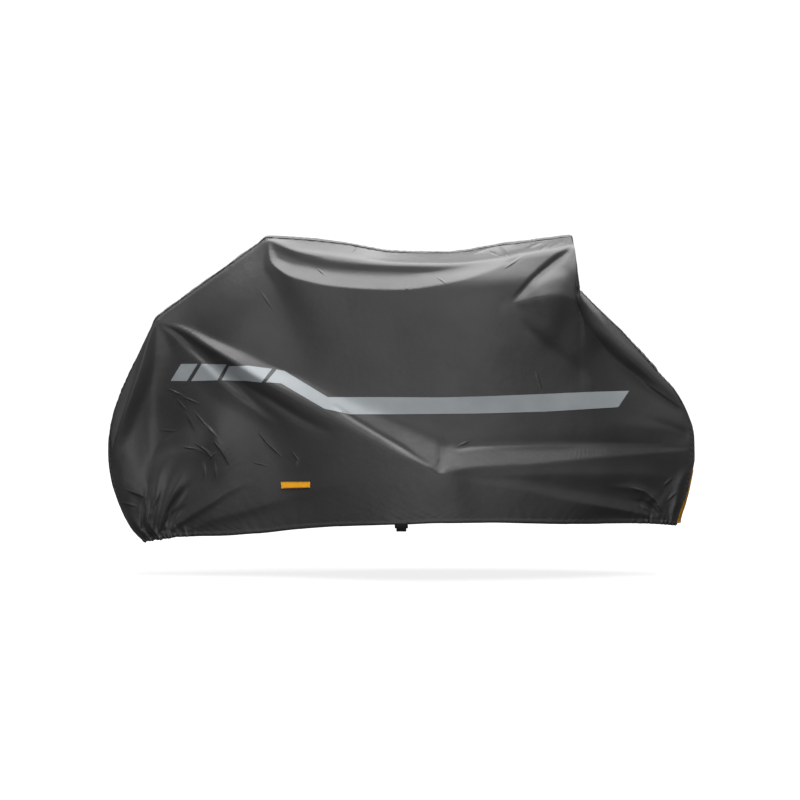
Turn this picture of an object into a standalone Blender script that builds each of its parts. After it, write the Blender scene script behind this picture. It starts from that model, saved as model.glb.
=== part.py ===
"""A fitted bicycle cover as it hangs over a bicycle that is left out.

The cover is hollow. Two side panels and a gusset over the top are sewn
together, with an elastic hem, a strap under the middle, a small blank label
and an orange front tab. Sizes are in millimetres, x towards the front from
the saddle and h above the ground, and the solids are in metres with the
origin under the top, over the saddle, +X to the front and +Z up.
"""
import bpy
import bmesh
import math
import numpy as np
from mathutils import Vector
from mathutils.bvhtree import BVHTree

MM = 0.001

# the point where the saddle holds the cover up, above the ground
REST_X = 0.0
REST_H = 1020.5

SHEET = 1.2            # thickness of the cloth
SEAM_GAP = 0.4         # space between two sewn edges
FINE_U = 361           # points of the working surface, rear to front
FINE_V = 201           # points of the working surface, hem to shoulder
FINE_W = 17            # points of the working surface, shoulder to seam
PANEL_U = 50           # steps of a panel's solid, rear to front
PANEL_V = 25           # steps of a panel's solid, hem to shoulder
PANEL_W = 3            # steps of a panel's solid, shoulder to seam
GUSSET_W = 4           # steps across the gusset
CROWDING = 1.4         # how much closer the points of a solid lie on its folds

# one row for each section of a panel, from the rear tyre to the front tyre:
# where the section meets the gusset's seam, its shoulder and its hem
SECTION_NAMES = ("seam_x", "seam_h", "seam_y", "shoulder_x", "shoulder_h",
                 "shoulder_y", "hem_x", "hem_h", "hem_y")
SECTIONS = (
    (-568, 455, 42, -571, 438, 42, -465, 103, 40),
    (-548, 527, 45, -544, 525, 50, -444, 106, 44),
    (-520, 594, 48, -514, 590, 60, -420, 110, 50),
    (-474, 690, 50, -466, 684, 72, -396, 114, 56),
    (-430, 782, 50, -424, 772, 78, -370, 119, 60),
    (-330, 855, 50, -322, 842, 64, -315, 123, 68),
    (-206, 944, 50, -200, 930, 64, -225, 127, 80),
    (-97, 1020, 50, -90, 1012, 78, -120, 136, 92),
    (15, 1016, 50, 5, 977, 92, 0, 149, 103),
    (130, 1004, 50, 125, 952, 108, 120, 158, 114),
    (303, 978, 50, 303, 944, 138, 290, 163, 126),
    (450, 977, 50, 452, 950, 164, 430, 167, 129),
    (590, 997, 50, 600, 972, 185, 560, 169, 122),
    (715, 1010, 50, 725, 1000, 203, 690, 169, 110),
    (806, 1013, 50, 815, 1014, 211, 790, 168, 98),
    (824, 930, 50, 826, 935, 226, 840, 168, 92),
    (840, 866, 50, 832, 866, 236, 885, 167, 86),
    (940, 764, 50, 932, 760, 158, 965, 165, 72),
    (1012, 694, 48, 1008, 690, 102, 1060, 160, 58),
    (1072, 628, 44, 1084, 614, 44, 1136, 152, 40),
)

# how far each section stands out from the mid plane on the way up
LEVELS = (0.0, 0.2, 0.45, 0.7, 0.88, 1.0)
DEPTH_NAMES = ("low", "mid", "high", "upper")
RIGHT_DEPTHS = (
    (42, 42, 42, 42),
    (54, 56, 54, 52),
    (62, 64, 62, 60),
    (68, 72, 72, 70),
    (74, 80, 80, 78),
    (84, 90, 88, 82),
    (96, 102, 96, 76),
    (106, 112, 102, 86),
    (116, 122, 110, 102),
    (128, 136, 128, 122),
    (154, 166, 168, 166),
    (172, 186, 194, 190),
    (154, 184, 214, 214),
    (132, 160, 216, 230),
    (112, 136, 202, 230),
    (104, 130, 176, 228),
    (96, 116, 150, 204),
    (80, 88, 100, 130),
    (64, 68, 74, 86),
    (42, 44, 44, 44),
)
LEFT_DEPTHS = (
    (42, 42, 42, 42),
    (56, 58, 56, 52),
    (66, 70, 66, 60),
    (76, 82, 76, 70),
    (86, 90, 82, 78),
    (106, 112, 98, 82),
    (134, 142, 114, 78),
    (164, 164, 126, 90),
    (176, 180, 140, 108),
    (170, 174, 146, 124),
    (154, 166, 168, 160),
    (138, 162, 188, 184),
    (122, 156, 206, 212),
    (108, 142, 210, 230),
    (94, 124, 198, 230),
    (88, 118, 172, 228),
    (80, 104, 146, 204),
    (68, 80, 98, 130),
    (60, 64, 72, 86),
    (42, 44, 44, 44),
)

# the rear and front edges of the panels, x and h, from the hem up
REAR_EDGE = ((-465, 103), (-503, 134), (-534, 190), (-553, 240), (-566, 290),
             (-573, 345), (-574, 400), (-571, 438))
FRONT_EDGE = ((1136, 152), (1157, 195), (1175, 250), (1185, 310), (1188, 360),
              (1185, 415), (1169, 484), (1133, 557), (1084, 614))


def column(table, names, name):
    """One named column of a table."""
    return np.array([float(row[names.index(name)]) for row in table])


def smooth(knots, values, places):
    """A smooth curve through the values that never overshoots them."""
    knots = np.asarray(knots, float)
    values = np.asarray(values, float)
    step = np.diff(knots)
    shape = (-1,) + (1,) * (values.ndim - 1)
    wide = step.reshape(shape)
    rise = np.diff(values, axis=0) / wide
    slope = np.zeros_like(values)
    slope[0] = rise[0]
    slope[-1] = rise[-1]
    before, after = rise[:-1], rise[1:]
    wb, wa = wide[:-1], wide[1:]
    mean = (before * wa + after * wb) / (wb + wa)
    limit = 2.0 * np.minimum(np.abs(before), np.abs(after))
    mean = np.sign(mean) * np.minimum(np.abs(mean), limit)
    slope[1:-1] = np.where(before * after > 0.0, mean, 0.0)
    places = np.clip(np.asarray(places, float), knots[0], knots[-1])
    index = np.clip(np.searchsorted(knots, places, side="right") - 1, 0, len(step) - 1)
    size = step[index]
    t = ((places - knots[index]) / size).reshape(shape)
    size = size.reshape(shape)
    a, b = values[index], values[index + 1]
    return ((2 * t ** 3 - 3 * t ** 2 + 1) * a + (t ** 3 - 2 * t ** 2 + t) * size * slope[index]
            + (3 * t ** 2 - 2 * t ** 3) * b + (t ** 3 - t ** 2) * size * slope[index + 1])


def along(points):
    """The share of the length at each point of a line."""
    gaps = np.linalg.norm(np.diff(points, axis=0), axis=1)
    total = np.concatenate([[0.0], np.cumsum(gaps)])
    return total / total[-1]


# one row for each main fold of a panel: three points of its crest, how far
# it stands out at each of them, its reach above and below, and its sharpness
FOLD_NAMES = ("x_a", "h_a", "x_b", "h_b", "x_c", "h_c", "out_a", "out_b", "out_c",
              "above", "below", "sharp")
RIGHT_FOLDS = (
    # the taut fold from the rack to the pedal, and the hollow under it
    (-424, 765, 0, 550, 415, 318, 8, 27, 27, 44, 16, 1.2),
    (-330, 680, 30, 500, 400, 285, -4, -11, -10, 18, 28, 1.5),
    # the line of the rack's rail
    (-424, 772, -250, 776, -70, 778, 3, 6, 1, 46, 40, 1.5),
    # the second fold from the rack, and the hollow between the two
    (-424, 755, -215, 592, 45, 448, 3, 6, 1, 26, 24, 1.5),
    (-410, 752, -185, 620, 10, 508, -3, -9, -2, 16, 18, 1.6),
    # the soft fold down the rear, and the hollow before it
    (-434, 740, -515, 530, -560, 320, 2, 9, 3, 26, 26, 1.6),
    (-424, 740, -478, 530, -550, 330, -1, -10, -2, 24, 24, 1.6),
    # the wide fold slung from the saddle to the bar
    (-85, 975, 200, 862, 590, 905, 10, 34, 12, 56, 12, 1.3),
    (590, 905, 700, 945, 815, 1000, 12, 12, 6, 34, 12, 1.4),
    # the hollow above it
    (-80, 992, 170, 925, 440, 912, -2, -14, -4, 16, 20, 1.6),
    # the thin ridge along the shoulder
    (-88, 1008, 220, 932, 560, 960, 2, 6, 3, 12, 12, 1.5),
    # the hollow behind the bar, and the fold down to the lever
    (806, 1000, 735, 930, 662, 850, -4, -26, -6, 26, 22, 1.5),
    (655, 825, 745, 842, 848, 858, 20, 20, 10, 46, 14, 1.2),
    # the hollows that run from the lever to the front wheel
    (835, 800, 990, 655, 1160, 470, -14, -18, -4, 20, 26, 1.4),
    (1010, 612, 1090, 550, 1160, 495, 3, 9, 3, 14, 14, 1.4),
    (672, 775, 790, 640, 920, 545, -14, -15, -3, 26, 30, 1.5),
    # the shelf from the pedal to the front wheel
    (415, 318, 720, 338, 1110, 350, 24, 18, 5, 34, 30, 1.2),
    (450, 368, 760, 374, 1110, 377, -12, -10, -5, 14, 18, 1.3),
    # the folds under the shelf
    (440, 290, 700, 272, 1010, 205, 4, 12, 4, 20, 24, 1.5),
    (450, 262, 700, 236, 960, 180, -3, -11, -3, 22, 24, 1.5),
    # the fold from the rear hem towards the pedal
    (-380, 140, -190, 265, -50, 285, 3, 10, 3, 24, 26, 1.5),
    (-300, 145, -100, 215, 220, 325, -4, -10, -4, 30, 30, 1.6),
)
LEFT_FOLDS = (
    (-424, 762, -170, 545, 35, 320, 3, 16, 15, 60, 34, 1.3),
    (-424, 755, -330, 520, -300, 330, 3, 9, 2, 34, 30, 1.5),
    (-434, 740, -515, 530, -570, 320, 2, 7, 3, 30, 30, 1.6),
    (-85, 985, 215, 850, 570, 900, 6, 24, 10, 60, 18, 1.5),
    (570, 900, 700, 942, 815, 1000, 10, 10, 4, 40, 16, 1.5),
    (-80, 985, 180, 915, 450, 908, 0, -9, -4, 20, 24, 1.6),
    (812, 990, 725, 915, 660, 845, -2, -20, -4, 34, 30, 1.6),
    (660, 828, 750, 845, 848, 855, 13, 15, 8, 40, 22, 1.3),
    (835, 800, 1000, 655, 1160, 470, -12, -14, -4, 26, 30, 1.5),
    (672, 775, 800, 640, 920, 545, -12, -11, -3, 30, 34, 1.5),
    (35, 325, 560, 350, 1120, 350, 15, 17, 8, 28, 38, 1.2),
    (110, 378, 560, 392, 1120, 376, -13, -12, -8, 26, 16, 1.3),
    (40, 290, 480, 262, 1000, 205, 3, 10, 4, 26, 30, 1.5),
    (-380, 140, -240, 240, -120, 290, 3, 8, 3, 26, 28, 1.5),
)


def fold_height(folds, x, h):
    """How far the folds move the cloth outward at the given points."""
    total = np.zeros_like(x)
    for row in folds:
        fold = dict(zip(FOLD_NAMES, row))
        t = np.linspace(0.0, 1.0, 25)
        # a quadratic curve through the three points of the crest
        a = (2 * t - 1) * (t - 1)
        b = 4 * t * (1 - t)
        c = t * (2 * t - 1)
        px = a * fold["x_a"] + b * fold["x_b"] + c * fold["x_c"]
        ph = a * fold["h_a"] + b * fold["h_b"] + c * fold["h_c"]
        near = np.full(x.shape, 1.0e9)
        side = np.zeros_like(x)
        place = np.zeros_like(x)
        for i in range(len(t) - 1):
            dx, dh = px[i + 1] - px[i], ph[i + 1] - ph[i]
            length = math.hypot(dx, dh)
            part = np.clip(((x - px[i]) * dx + (h - ph[i]) * dh) / length ** 2, 0.0, 1.0)
            ox, oh = x - px[i] - part * dx, h - ph[i] - part * dh
            gap = np.hypot(ox, oh)
            closer = gap < near
            near = np.where(closer, gap, near)
            side = np.where(closer, dx * oh - dh * ox, side)
            place = np.where(closer, t[i] + part * (t[1] - t[0]), place)
        if fold["x_c"] < fold["x_a"]:
            side = -side
        reach = np.where(side >= 0.0, fold["above"], fold["below"])
        out = smooth((0.0, 0.5, 1.0), (fold["out_a"], fold["out_b"], fold["out_c"]),
                     place.ravel()).reshape(x.shape)
        total += out * np.exp(-(near / reach) ** fold["sharp"])
    return total


def grid_normals(grid):
    """Unit normals of a grid of points."""
    du = np.gradient(grid, axis=0)
    dv = np.gradient(grid, axis=1)
    normal = np.cross(du, dv)
    return normal / np.maximum(np.linalg.norm(normal, axis=2, keepdims=True), 1e-9)


def soften(grid, rounds):
    """Round off the inside of a grid and leave its edges where they are."""
    for _ in range(rounds):
        inner = grid[1:-1, 1:-1]
        mean = (grid[:-2, 1:-1] + grid[2:, 1:-1] + grid[1:-1, :-2] + grid[1:-1, 2:]) / 4.0
        grid[1:-1, 1:-1] = inner + 0.5 * (mean - inner)
    return grid


def panel_surface(depths, folds, side):
    """The outer face of a panel as a fine grid, hem to seam along its second axis.

    side is -1 for the right panel and 1 for the left one.
    """
    seam = np.column_stack([column(SECTIONS, SECTION_NAMES, n)
                            for n in ("seam_x", "seam_h", "seam_y")])
    shoulder = np.column_stack([column(SECTIONS, SECTION_NAMES, n)
                                for n in ("shoulder_x", "shoulder_h", "shoulder_y")])
    hem = np.column_stack([column(SECTIONS, SECTION_NAMES, n)
                           for n in ("hem_x", "hem_h", "hem_y")])
    knots = along(seam[:, :2])
    u = np.linspace(0.0, 1.0, FINE_U)
    v = np.linspace(0.0, 1.0, FINE_V)
    seam_line = smooth(knots, seam, u)
    shoulder_line = smooth(knots, shoulder, u)
    hem_line = smooth(knots, hem, u)
    rear = np.array(REAR_EDGE, float)
    front = np.array(FRONT_EDGE, float)
    rear[0], rear[-1] = hem_line[0, :2], shoulder_line[0, :2]
    front[0], front[-1] = hem_line[-1, :2], shoulder_line[-1, :2]
    rear_line = smooth(along(rear), rear, v)
    front_line = smooth(along(front), front, v)
    uu = u[:, None, None]
    vv = v[None, :, None]
    plan = ((1 - vv) * hem_line[:, None, :2] + vv * shoulder_line[:, None, :2]
            + (1 - uu) * rear_line[None] + uu * front_line[None]
            - (1 - uu) * (1 - vv) * hem_line[0, :2] - uu * (1 - vv) * hem_line[-1, :2]
            - (1 - uu) * vv * shoulder_line[0, :2] - uu * vv * shoulder_line[-1, :2])
    table = [column(depths, DEPTH_NAMES, n) for n in DEPTH_NAMES]
    table = np.column_stack([hem[:, 2]] + table + [shoulder[:, 2]])
    depth = smooth(knots, table, u)
    depth = smooth(LEVELS, depth.T, v).T
    lower = np.dstack([plan[:, :, 0], depth, plan[:, :, 1]])
    # from the shoulder up to the seam
    w = np.linspace(0.0, 1.0, FINE_W)[1:][None, :, None]
    start = shoulder_line[:, None, [0, 2, 1]]
    end = seam_line[:, None, [0, 2, 1]]
    upper = start + (end - start) * w
    grid = np.concatenate([lower, upper], axis=1)
    grid[:, :, 1] *= side
    soften(grid, 16)
    normal = grid_normals(grid)
    if side < 0:
        outward = -normal
        if outward[FINE_U // 2, FINE_V // 2, 1] > 0:
            outward = normal
    else:
        outward = normal
        if outward[FINE_U // 2, FINE_V // 2, 1] < 0:
            outward = -normal
    outward = soften(outward, 12)
    outward /= np.linalg.norm(outward, axis=2, keepdims=True)
    height = fold_height(folds, grid[:, :, 0], grid[:, :, 2])
    # the folds die out at the seams, sooner on the slope before the front wheel
    fade = np.minimum(1.0, np.arange(FINE_U) / 14.0)
    fade = np.minimum(fade, fade[::-1])[:, None]
    sooner = np.clip((u - knots[14]) / (knots[17] - knots[14]), 0.0, 1.0)[:, None]
    left_over = np.arange(grid.shape[1])[::-1][None, :]
    rim = np.clip(left_over / (FINE_W + 26.0 * sooner), 0.0, 1.0)
    rim = rim * rim * (3.0 - 2.0 * rim)
    height = height * fade * rim
    return grid + outward * height[:, :, None]


def blur(values, rounds):
    """Even out a table of values over its neighbours."""
    for _ in range(rounds):
        padded = np.pad(values, 1, mode="edge")
        values = (padded[:-2, 1:-1] + padded[2:, 1:-1] + padded[1:-1, :-2]
                  + padded[1:-1, 2:] + 2.0 * values) / 6.0
    return values


def pick(grid, u_steps, v_steps, w_steps):
    """A sparser grid from a fine one, with its points closer where the folds bend."""
    lower = grid[:, :FINE_V]
    bend = np.zeros(lower.shape[:2])
    bend[:, 1:-1] = np.linalg.norm(lower[:, 2:] + lower[:, :-2] - 2.0 * lower[:, 1:-1], axis=2)
    bend = blur(bend, 110)
    edge = np.minimum(1.0, np.arange(FINE_U) / 40.0)
    edge = np.minimum(edge, edge[::-1])[:, None]
    crowd = 1.0 + CROWDING * edge * bend / bend.mean()
    share = np.cumsum((crowd[:, 1:] + crowd[:, :-1]) / 2.0, axis=1)
    share = np.concatenate([np.zeros((FINE_U, 1)), share], axis=1)
    share /= share[:, -1:]
    ui = np.linspace(0, FINE_U - 1, u_steps + 1).round().astype(int)
    wi = np.linspace(FINE_V - 1, FINE_V + FINE_W - 2, w_steps + 1).round().astype(int)[1:]
    places = np.linspace(0.0, 1.0, v_steps + 1)
    columns = []
    for i in ui:
        at = np.interp(places, share[i], np.arange(FINE_V))
        line = [np.interp(at, np.arange(FINE_V), grid[i, :FINE_V, k]) for k in range(3)]
        columns.append(np.concatenate([np.column_stack(line), grid[i, wi]]))
    return np.array(columns)


def rim_of(grid):
    """The seam line of a panel: up the rear edge, along the top, down the front."""
    return np.concatenate([grid[0, :, :], grid[1:-1, -1, :], grid[-1, ::-1, :]])


def gusset_surface(right, left):
    """The outer face of the gusset between the seams of the two panels."""
    a = rim_of(right)
    b = rim_of(left)
    tangent = np.gradient((a + b) / 2.0, axis=0)
    lift = np.column_stack([-tangent[:, 2], np.zeros(len(a)), tangent[:, 0]])
    lift /= np.linalg.norm(lift, axis=1, keepdims=True)
    low = np.clip((700.0 - a[:, 2]) / 350.0, 0.0, 1.0)
    crown = 5.0 + 9.0 * low
    rows = []
    for t in np.linspace(0.0, 1.0, GUSSET_W + 1):
        rise = 1.0 - (2.0 * t - 1.0) ** 2
        rows.append(a + (b - a) * t + lift * (crown * rise)[:, None])
    return np.stack(rows, axis=1)


def point_normals(grid, sign):
    """Normals at the points of a sparse grid, from its own facets."""
    a = grid[:-1, :-1]
    b = grid[1:, :-1]
    c = grid[1:, 1:]
    d = grid[:-1, 1:]
    face = np.cross(c - a, d - b)
    face /= np.maximum(np.linalg.norm(face, axis=2, keepdims=True), 1e-9)
    total = np.zeros_like(grid)
    total[:-1, :-1] += face
    total[1:, :-1] += face
    total[1:, 1:] += face
    total[:-1, 1:] += face
    total /= np.maximum(np.linalg.norm(total, axis=2, keepdims=True), 1e-9)
    return total * sign


def sheet_solid(name, outer, inner, colour):
    """A closed sheet between an outer and an inner grid of points."""
    rows, cols = outer.shape[0], outer.shape[1]
    count = rows * cols
    points = np.concatenate([outer.reshape(-1, 3), inner.reshape(-1, 3)])
    faces = []
    for i in range(rows - 1):
        for j in range(cols - 1):
            p = i * cols + j
            quad = (p, p + cols, p + cols + 1, p + 1)
            faces.append(quad)
            faces.append(tuple(count + q for q in reversed(quad)))
    loop = [j for j in range(cols)]
    loop += [i * cols + cols - 1 for i in range(1, rows)]
    loop += [(rows - 1) * cols + j for j in range(cols - 2, -1, -1)]
    loop += [i * cols for i in range(rows - 2, 0, -1)]
    for p, q in zip(loop, loop[1:] + loop[:1]):
        faces.append((p, q, count + q, count + p))
    return add_solid(name, points, faces, colour)


def add_solid(name, points, faces, colour, rough=0.5):
    """A named object from points in the drawing's millimetres."""
    placed = [((p[0] - REST_X) * MM, p[1] * MM, (p[2] - REST_H) * MM) for p in points]
    mesh = bpy.data.meshes.new(name)
    mesh.from_pydata(placed, [], [list(f) for f in faces])
    mesh.validate()
    solid = bpy.data.objects.new(name, mesh)
    bpy.context.scene.collection.objects.link(solid)
    work = bmesh.new()
    work.from_mesh(mesh)
    bmesh.ops.triangulate(work, faces=work.faces[:])
    bmesh.ops.recalc_face_normals(work, faces=work.faces[:])
    work.to_mesh(mesh)
    work.free()
    material = bpy.data.materials.new(name + "_material")
    material.use_nodes = True
    shader = material.node_tree.nodes["Principled BSDF"]
    shader.inputs["Base Color"].default_value = (colour[0], colour[1], colour[2], 1.0)
    shader.inputs["Roughness"].default_value = rough
    mesh.materials.append(material)
    return solid


CLOTH = (0.035, 0.035, 0.037)
ORANGE = (0.80, 0.30, 0.01)
WEBBING = (0.02, 0.02, 0.02)
PLASTIC = (0.015, 0.015, 0.015)

# the blank label on the right panel
LABEL_X, LABEL_H = -13.0, 280.0
LABEL_LONG, LABEL_TALL = 88.0, 18.0
# the orange tab on the front of the gusset
TAB_LOW, TAB_HIGH = 158.0, 318.0
TAB_HALF_LOW, TAB_HALF_HIGH = 36.0, 26.0
TAB_CURL = 4.0
# the strap under the middle and its buckle
STRAP_X, STRAP_WIDE, STRAP_THICK = 307.0, 30.0, 1.6
STRAP_SEWN = 34.0
STRAP_DROP = 18.0
BUCKLE_LONG, BUCKLE_WIDE, BUCKLE_THICK = 30.0, 40.0, 10.0
BUCKLE_SLOT = 6.0
PRONG_LONG, PRONG_WIDE, PRONG_THICK = 18.0, 6.0, 5.0
CLEAR = 0.45           # space between pieces that are sewn or laid together


def unit(vectors):
    """The same directions with a length of one."""
    return vectors / np.maximum(np.linalg.norm(vectors, axis=-1, keepdims=True), 1e-9)


def sew(right, left, strip):
    """Part the sewn edges a little and mitre them where two sheets meet.

    Each sheet is a grid, and the result is its outer and its inner grid.
    """
    grids = [right, left, strip]
    outs = [point_normals(g, 1) for g in grids]
    for k, way, axis in ((0, -1, 1), (1, 1, 1), (2, 1, 2)):
        middle = outs[k][outs[k].shape[0] // 2, outs[k].shape[1] // 2, axis]
        if middle * way < 0:
            outs[k] = -outs[k]
    inners = [g - o * SHEET for g, o in zip(grids, outs)]
    outers = [g.copy() for g in grids]
    rows, cols = right.shape[0], right.shape[1]
    rim = [(0, j) for j in range(cols)]
    rim += [(i, cols - 1) for i in range(1, rows - 1)]
    rim += [(rows - 1, j) for j in range(cols - 1, -1, -1)]
    for k, edge in ((0, 0), (1, strip.shape[1] - 1)):
        line = np.array([grids[k][p] for p in rim])
        run = unit(np.gradient(line, axis=0))
        panel_out = np.array([outs[k][p] for p in rim])
        strip_out = outs[2][:, edge]
        dot = np.sum(panel_out * strip_out, axis=1, keepdims=True)
        mitre = (panel_out + strip_out) / (1.0 + np.maximum(dot, -0.2))
        centre = grids[k][rows // 2, cols // 2]
        inward = unit(np.cross(panel_out, run))
        sign = np.sign(np.sum(inward * (centre - line), axis=1, keepdims=True))
        inward = inward * sign
        across = unit(np.cross(strip_out, run))
        middle = grids[2][:, grids[2].shape[1] // 2]
        sign = np.sign(np.sum(across * (middle - line), axis=1, keepdims=True))
        across = across * sign
        for n, p in enumerate(rim):
            outers[k][p] = line[n] + inward[n] * SEAM_GAP / 2.0
            inners[k][p] = outers[k][p] - mitre[n] * SHEET
            outers[2][n, edge] = line[n] + across[n] * SEAM_GAP / 2.0
            inners[2][n, edge] = outers[2][n, edge] - mitre[n] * SHEET
    return outers, inners


def tree_of(solid):
    """A search tree of a solid's facets, in metres."""
    mesh = solid.data
    corners = [v.co for v in mesh.vertices]
    return BVHTree.FromPolygons(corners, [tuple(p.vertices) for p in mesh.polygons])


def hit(tree, start, way):
    """The first point that a line from the start meets, in the drawing's millimetres."""
    origin = Vector(((start[0] - REST_X) * MM, start[1] * MM, (start[2] - REST_H) * MM))
    place = tree.ray_cast(origin, Vector(way))[0]
    if place is None:
        return None
    return np.array([place.x / MM + REST_X, place.y / MM, place.z / MM + REST_H])


def label(panel):
    """The blank label, laid on the right panel's own facets."""
    tree = tree_of(panel)
    inner = np.zeros((13, 4, 3))
    for i, a in enumerate(np.linspace(-0.5, 0.5, 13)):
        for j, b in enumerate(np.linspace(-0.5, 0.5, 4)):
            x = LABEL_X + a * LABEL_LONG
            h = LABEL_H + b * LABEL_TALL + a * 3.0
            inner[i, j] = hit(tree, (x, -600.0, h), (0.0, 1.0, 0.0))
    inner[:, :, 1] -= CLEAR
    outer = inner.copy()
    outer[:, :, 1] -= 1.0
    return sheet_solid("side_label", outer, inner, ORANGE)


def tab(strip_solid):
    """The orange tab on the front of the gusset, a little curled at its foot."""
    tree = tree_of(strip_solid)
    inner = np.zeros((13, 9, 3))
    for i, a in enumerate(np.linspace(0.0, 1.0, 13)):
        h = TAB_LOW + a * (TAB_HIGH - TAB_LOW)
        half = TAB_HALF_LOW + a * (TAB_HALF_HIGH - TAB_HALF_LOW)
        crease = 20.0 + a
        for j, y in enumerate((-half, -(half + crease) / 2.0, -crease, -crease / 2.0, 0.0,
                               crease / 2.0, crease, (half + crease) / 2.0, half)):
            inner[i, j] = hit(tree, (1500.0, y, h), (-1.0, 0.0, 0.0))
            inner[i, j, 0] += CLEAR + 0.2 + TAB_CURL * (1.0 - a) ** 4
    outer = inner.copy()
    outer[:, :, 0] += 1.0
    return sheet_solid("front_tab", outer, inner, ORANGE)


def strap_route(panel, side, hem_h):
    """The middle line of half the strap, from inside the hem to the buckle."""
    tree = tree_of(panel)
    route = []
    for rise in np.linspace(STRAP_SEWN, 3.0, 6):
        inside = []
        for x in np.linspace(-0.5, 0.5, 7) * STRAP_WIDE + STRAP_X:
            found = hit(tree, (x, 0.0, hem_h + rise), (0.0, float(side), 0.0))
            if found is not None:
                inside.append(abs(found[1]))
        route.append((min(inside) - CLEAR - STRAP_THICK / 2.0, hem_h + rise))
    last = route[-1][0]
    end = BUCKLE_LONG - BUCKLE_SLOT + CLEAR
    route.append((last - 1.5, hem_h - 5.0))
    route.append((last - 7.0, hem_h - 11.0))
    route.append((last - 18.0, hem_h - 14.5))
    for share in (0.25, 0.5, 0.75, 1.0):
        y = (last - 18.0) * (1.0 - share) + end * share
        route.append((y, hem_h - 14.5 - (STRAP_DROP - 14.5) * share))
    return np.array(route)


def ribbon(name, route, side, colour):
    """A flat strap along a route in the Y and Z plane."""
    run = unit(np.gradient(route, axis=0))
    flat = np.column_stack([-run[:, 1], run[:, 0]])
    grids = []
    for way in (0.5, -0.5):
        line = route + flat * way * STRAP_THICK
        grid = np.zeros((len(route), 2, 3))
        for j, x in enumerate((STRAP_X - STRAP_WIDE / 2.0, STRAP_X + STRAP_WIDE / 2.0)):
            grid[:, j, 0] = x
            grid[:, j, 1] = line[:, 0] * side
            grid[:, j, 2] = line[:, 1]
        grids.append(grid)
    return sheet_solid(name, grids[0], grids[1], colour)


def box_faces(x0, x1, y0, y1, z0, z1):
    """The corners and faces of a plain block."""
    points = [(x, y, z) for x in (x0, x1) for y in (y0, y1) for z in (z0, z1)]
    faces = [(0, 1, 3, 2), (4, 6, 7, 5), (0, 4, 5, 1), (2, 3, 7, 6), (0, 2, 6, 4), (1, 5, 7, 3)]
    return points, faces


def joined(name, blocks, colour):
    """One solid from blocks that are united, with others cut away."""
    whole = None
    for way, sizes in blocks:
        points, faces = box_faces(*sizes)
        piece = add_solid(name if whole is None else name + "_tool", points, faces, colour)
        if whole is None:
            whole = piece
            continue
        change = whole.modifiers.new("change", "BOOLEAN")
        change.solver = "EXACT"
        change.operation = way
        change.object = piece
        bpy.context.view_layer.update()
        graph = bpy.context.evaluated_depsgraph_get()
        made = bpy.data.meshes.new_from_object(whole.evaluated_get(graph))
        whole.modifiers.remove(change)
        whole.data = made
        bpy.data.objects.remove(piece, do_unlink=True)
    return whole


def buckle(height):
    """The two halves of the buckle, the socket to the right of the middle."""
    wide, thick = BUCKLE_WIDE / 2.0, BUCKLE_THICK / 2.0
    x0, x1 = STRAP_X - wide, STRAP_X + wide
    z0, z1 = height - thick, height + thick
    slot_x = STRAP_WIDE / 2.0 + CLEAR
    slot_z = STRAP_THICK / 2.0 + CLEAR
    gap = CLEAR / 2.0
    prong_x = wide - 6.0
    room = (
        ("UNION", (x0, x1, -BUCKLE_LONG, -gap, z0, z1)),
        ("DIFFERENCE", (STRAP_X - slot_x, STRAP_X + slot_x, -BUCKLE_LONG - 1.0,
                        -BUCKLE_LONG + BUCKLE_SLOT, height - slot_z, height + slot_z)),
        ("DIFFERENCE", (STRAP_X - prong_x - CLEAR, STRAP_X - prong_x + PRONG_WIDE + CLEAR,
                        -PRONG_LONG - 1.0, 1.0, height - PRONG_THICK / 2.0 - CLEAR,
                        height + PRONG_THICK / 2.0 + CLEAR)),
        ("DIFFERENCE", (STRAP_X + prong_x - PRONG_WIDE - CLEAR, STRAP_X + prong_x + CLEAR,
                        -PRONG_LONG - 1.0, 1.0, height - PRONG_THICK / 2.0 - CLEAR,
                        height + PRONG_THICK / 2.0 + CLEAR)),
    )
    fork = (
        ("UNION", (x0, x1, gap, BUCKLE_LONG, z0, z1)),
        ("DIFFERENCE", (STRAP_X - slot_x, STRAP_X + slot_x, BUCKLE_LONG - BUCKLE_SLOT,
                        BUCKLE_LONG + 1.0, height - slot_z, height + slot_z)),
        ("UNION", (STRAP_X - prong_x, STRAP_X - prong_x + PRONG_WIDE, -PRONG_LONG, 2.0,
                   height - PRONG_THICK / 2.0, height + PRONG_THICK / 2.0)),
        ("UNION", (STRAP_X + prong_x - PRONG_WIDE, STRAP_X + prong_x, -PRONG_LONG, 2.0,
                   height - PRONG_THICK / 2.0, height + PRONG_THICK / 2.0)),
    )
    joined("buckle_socket", room, PLASTIC)
    joined("buckle_plug", fork, PLASTIC)


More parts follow.
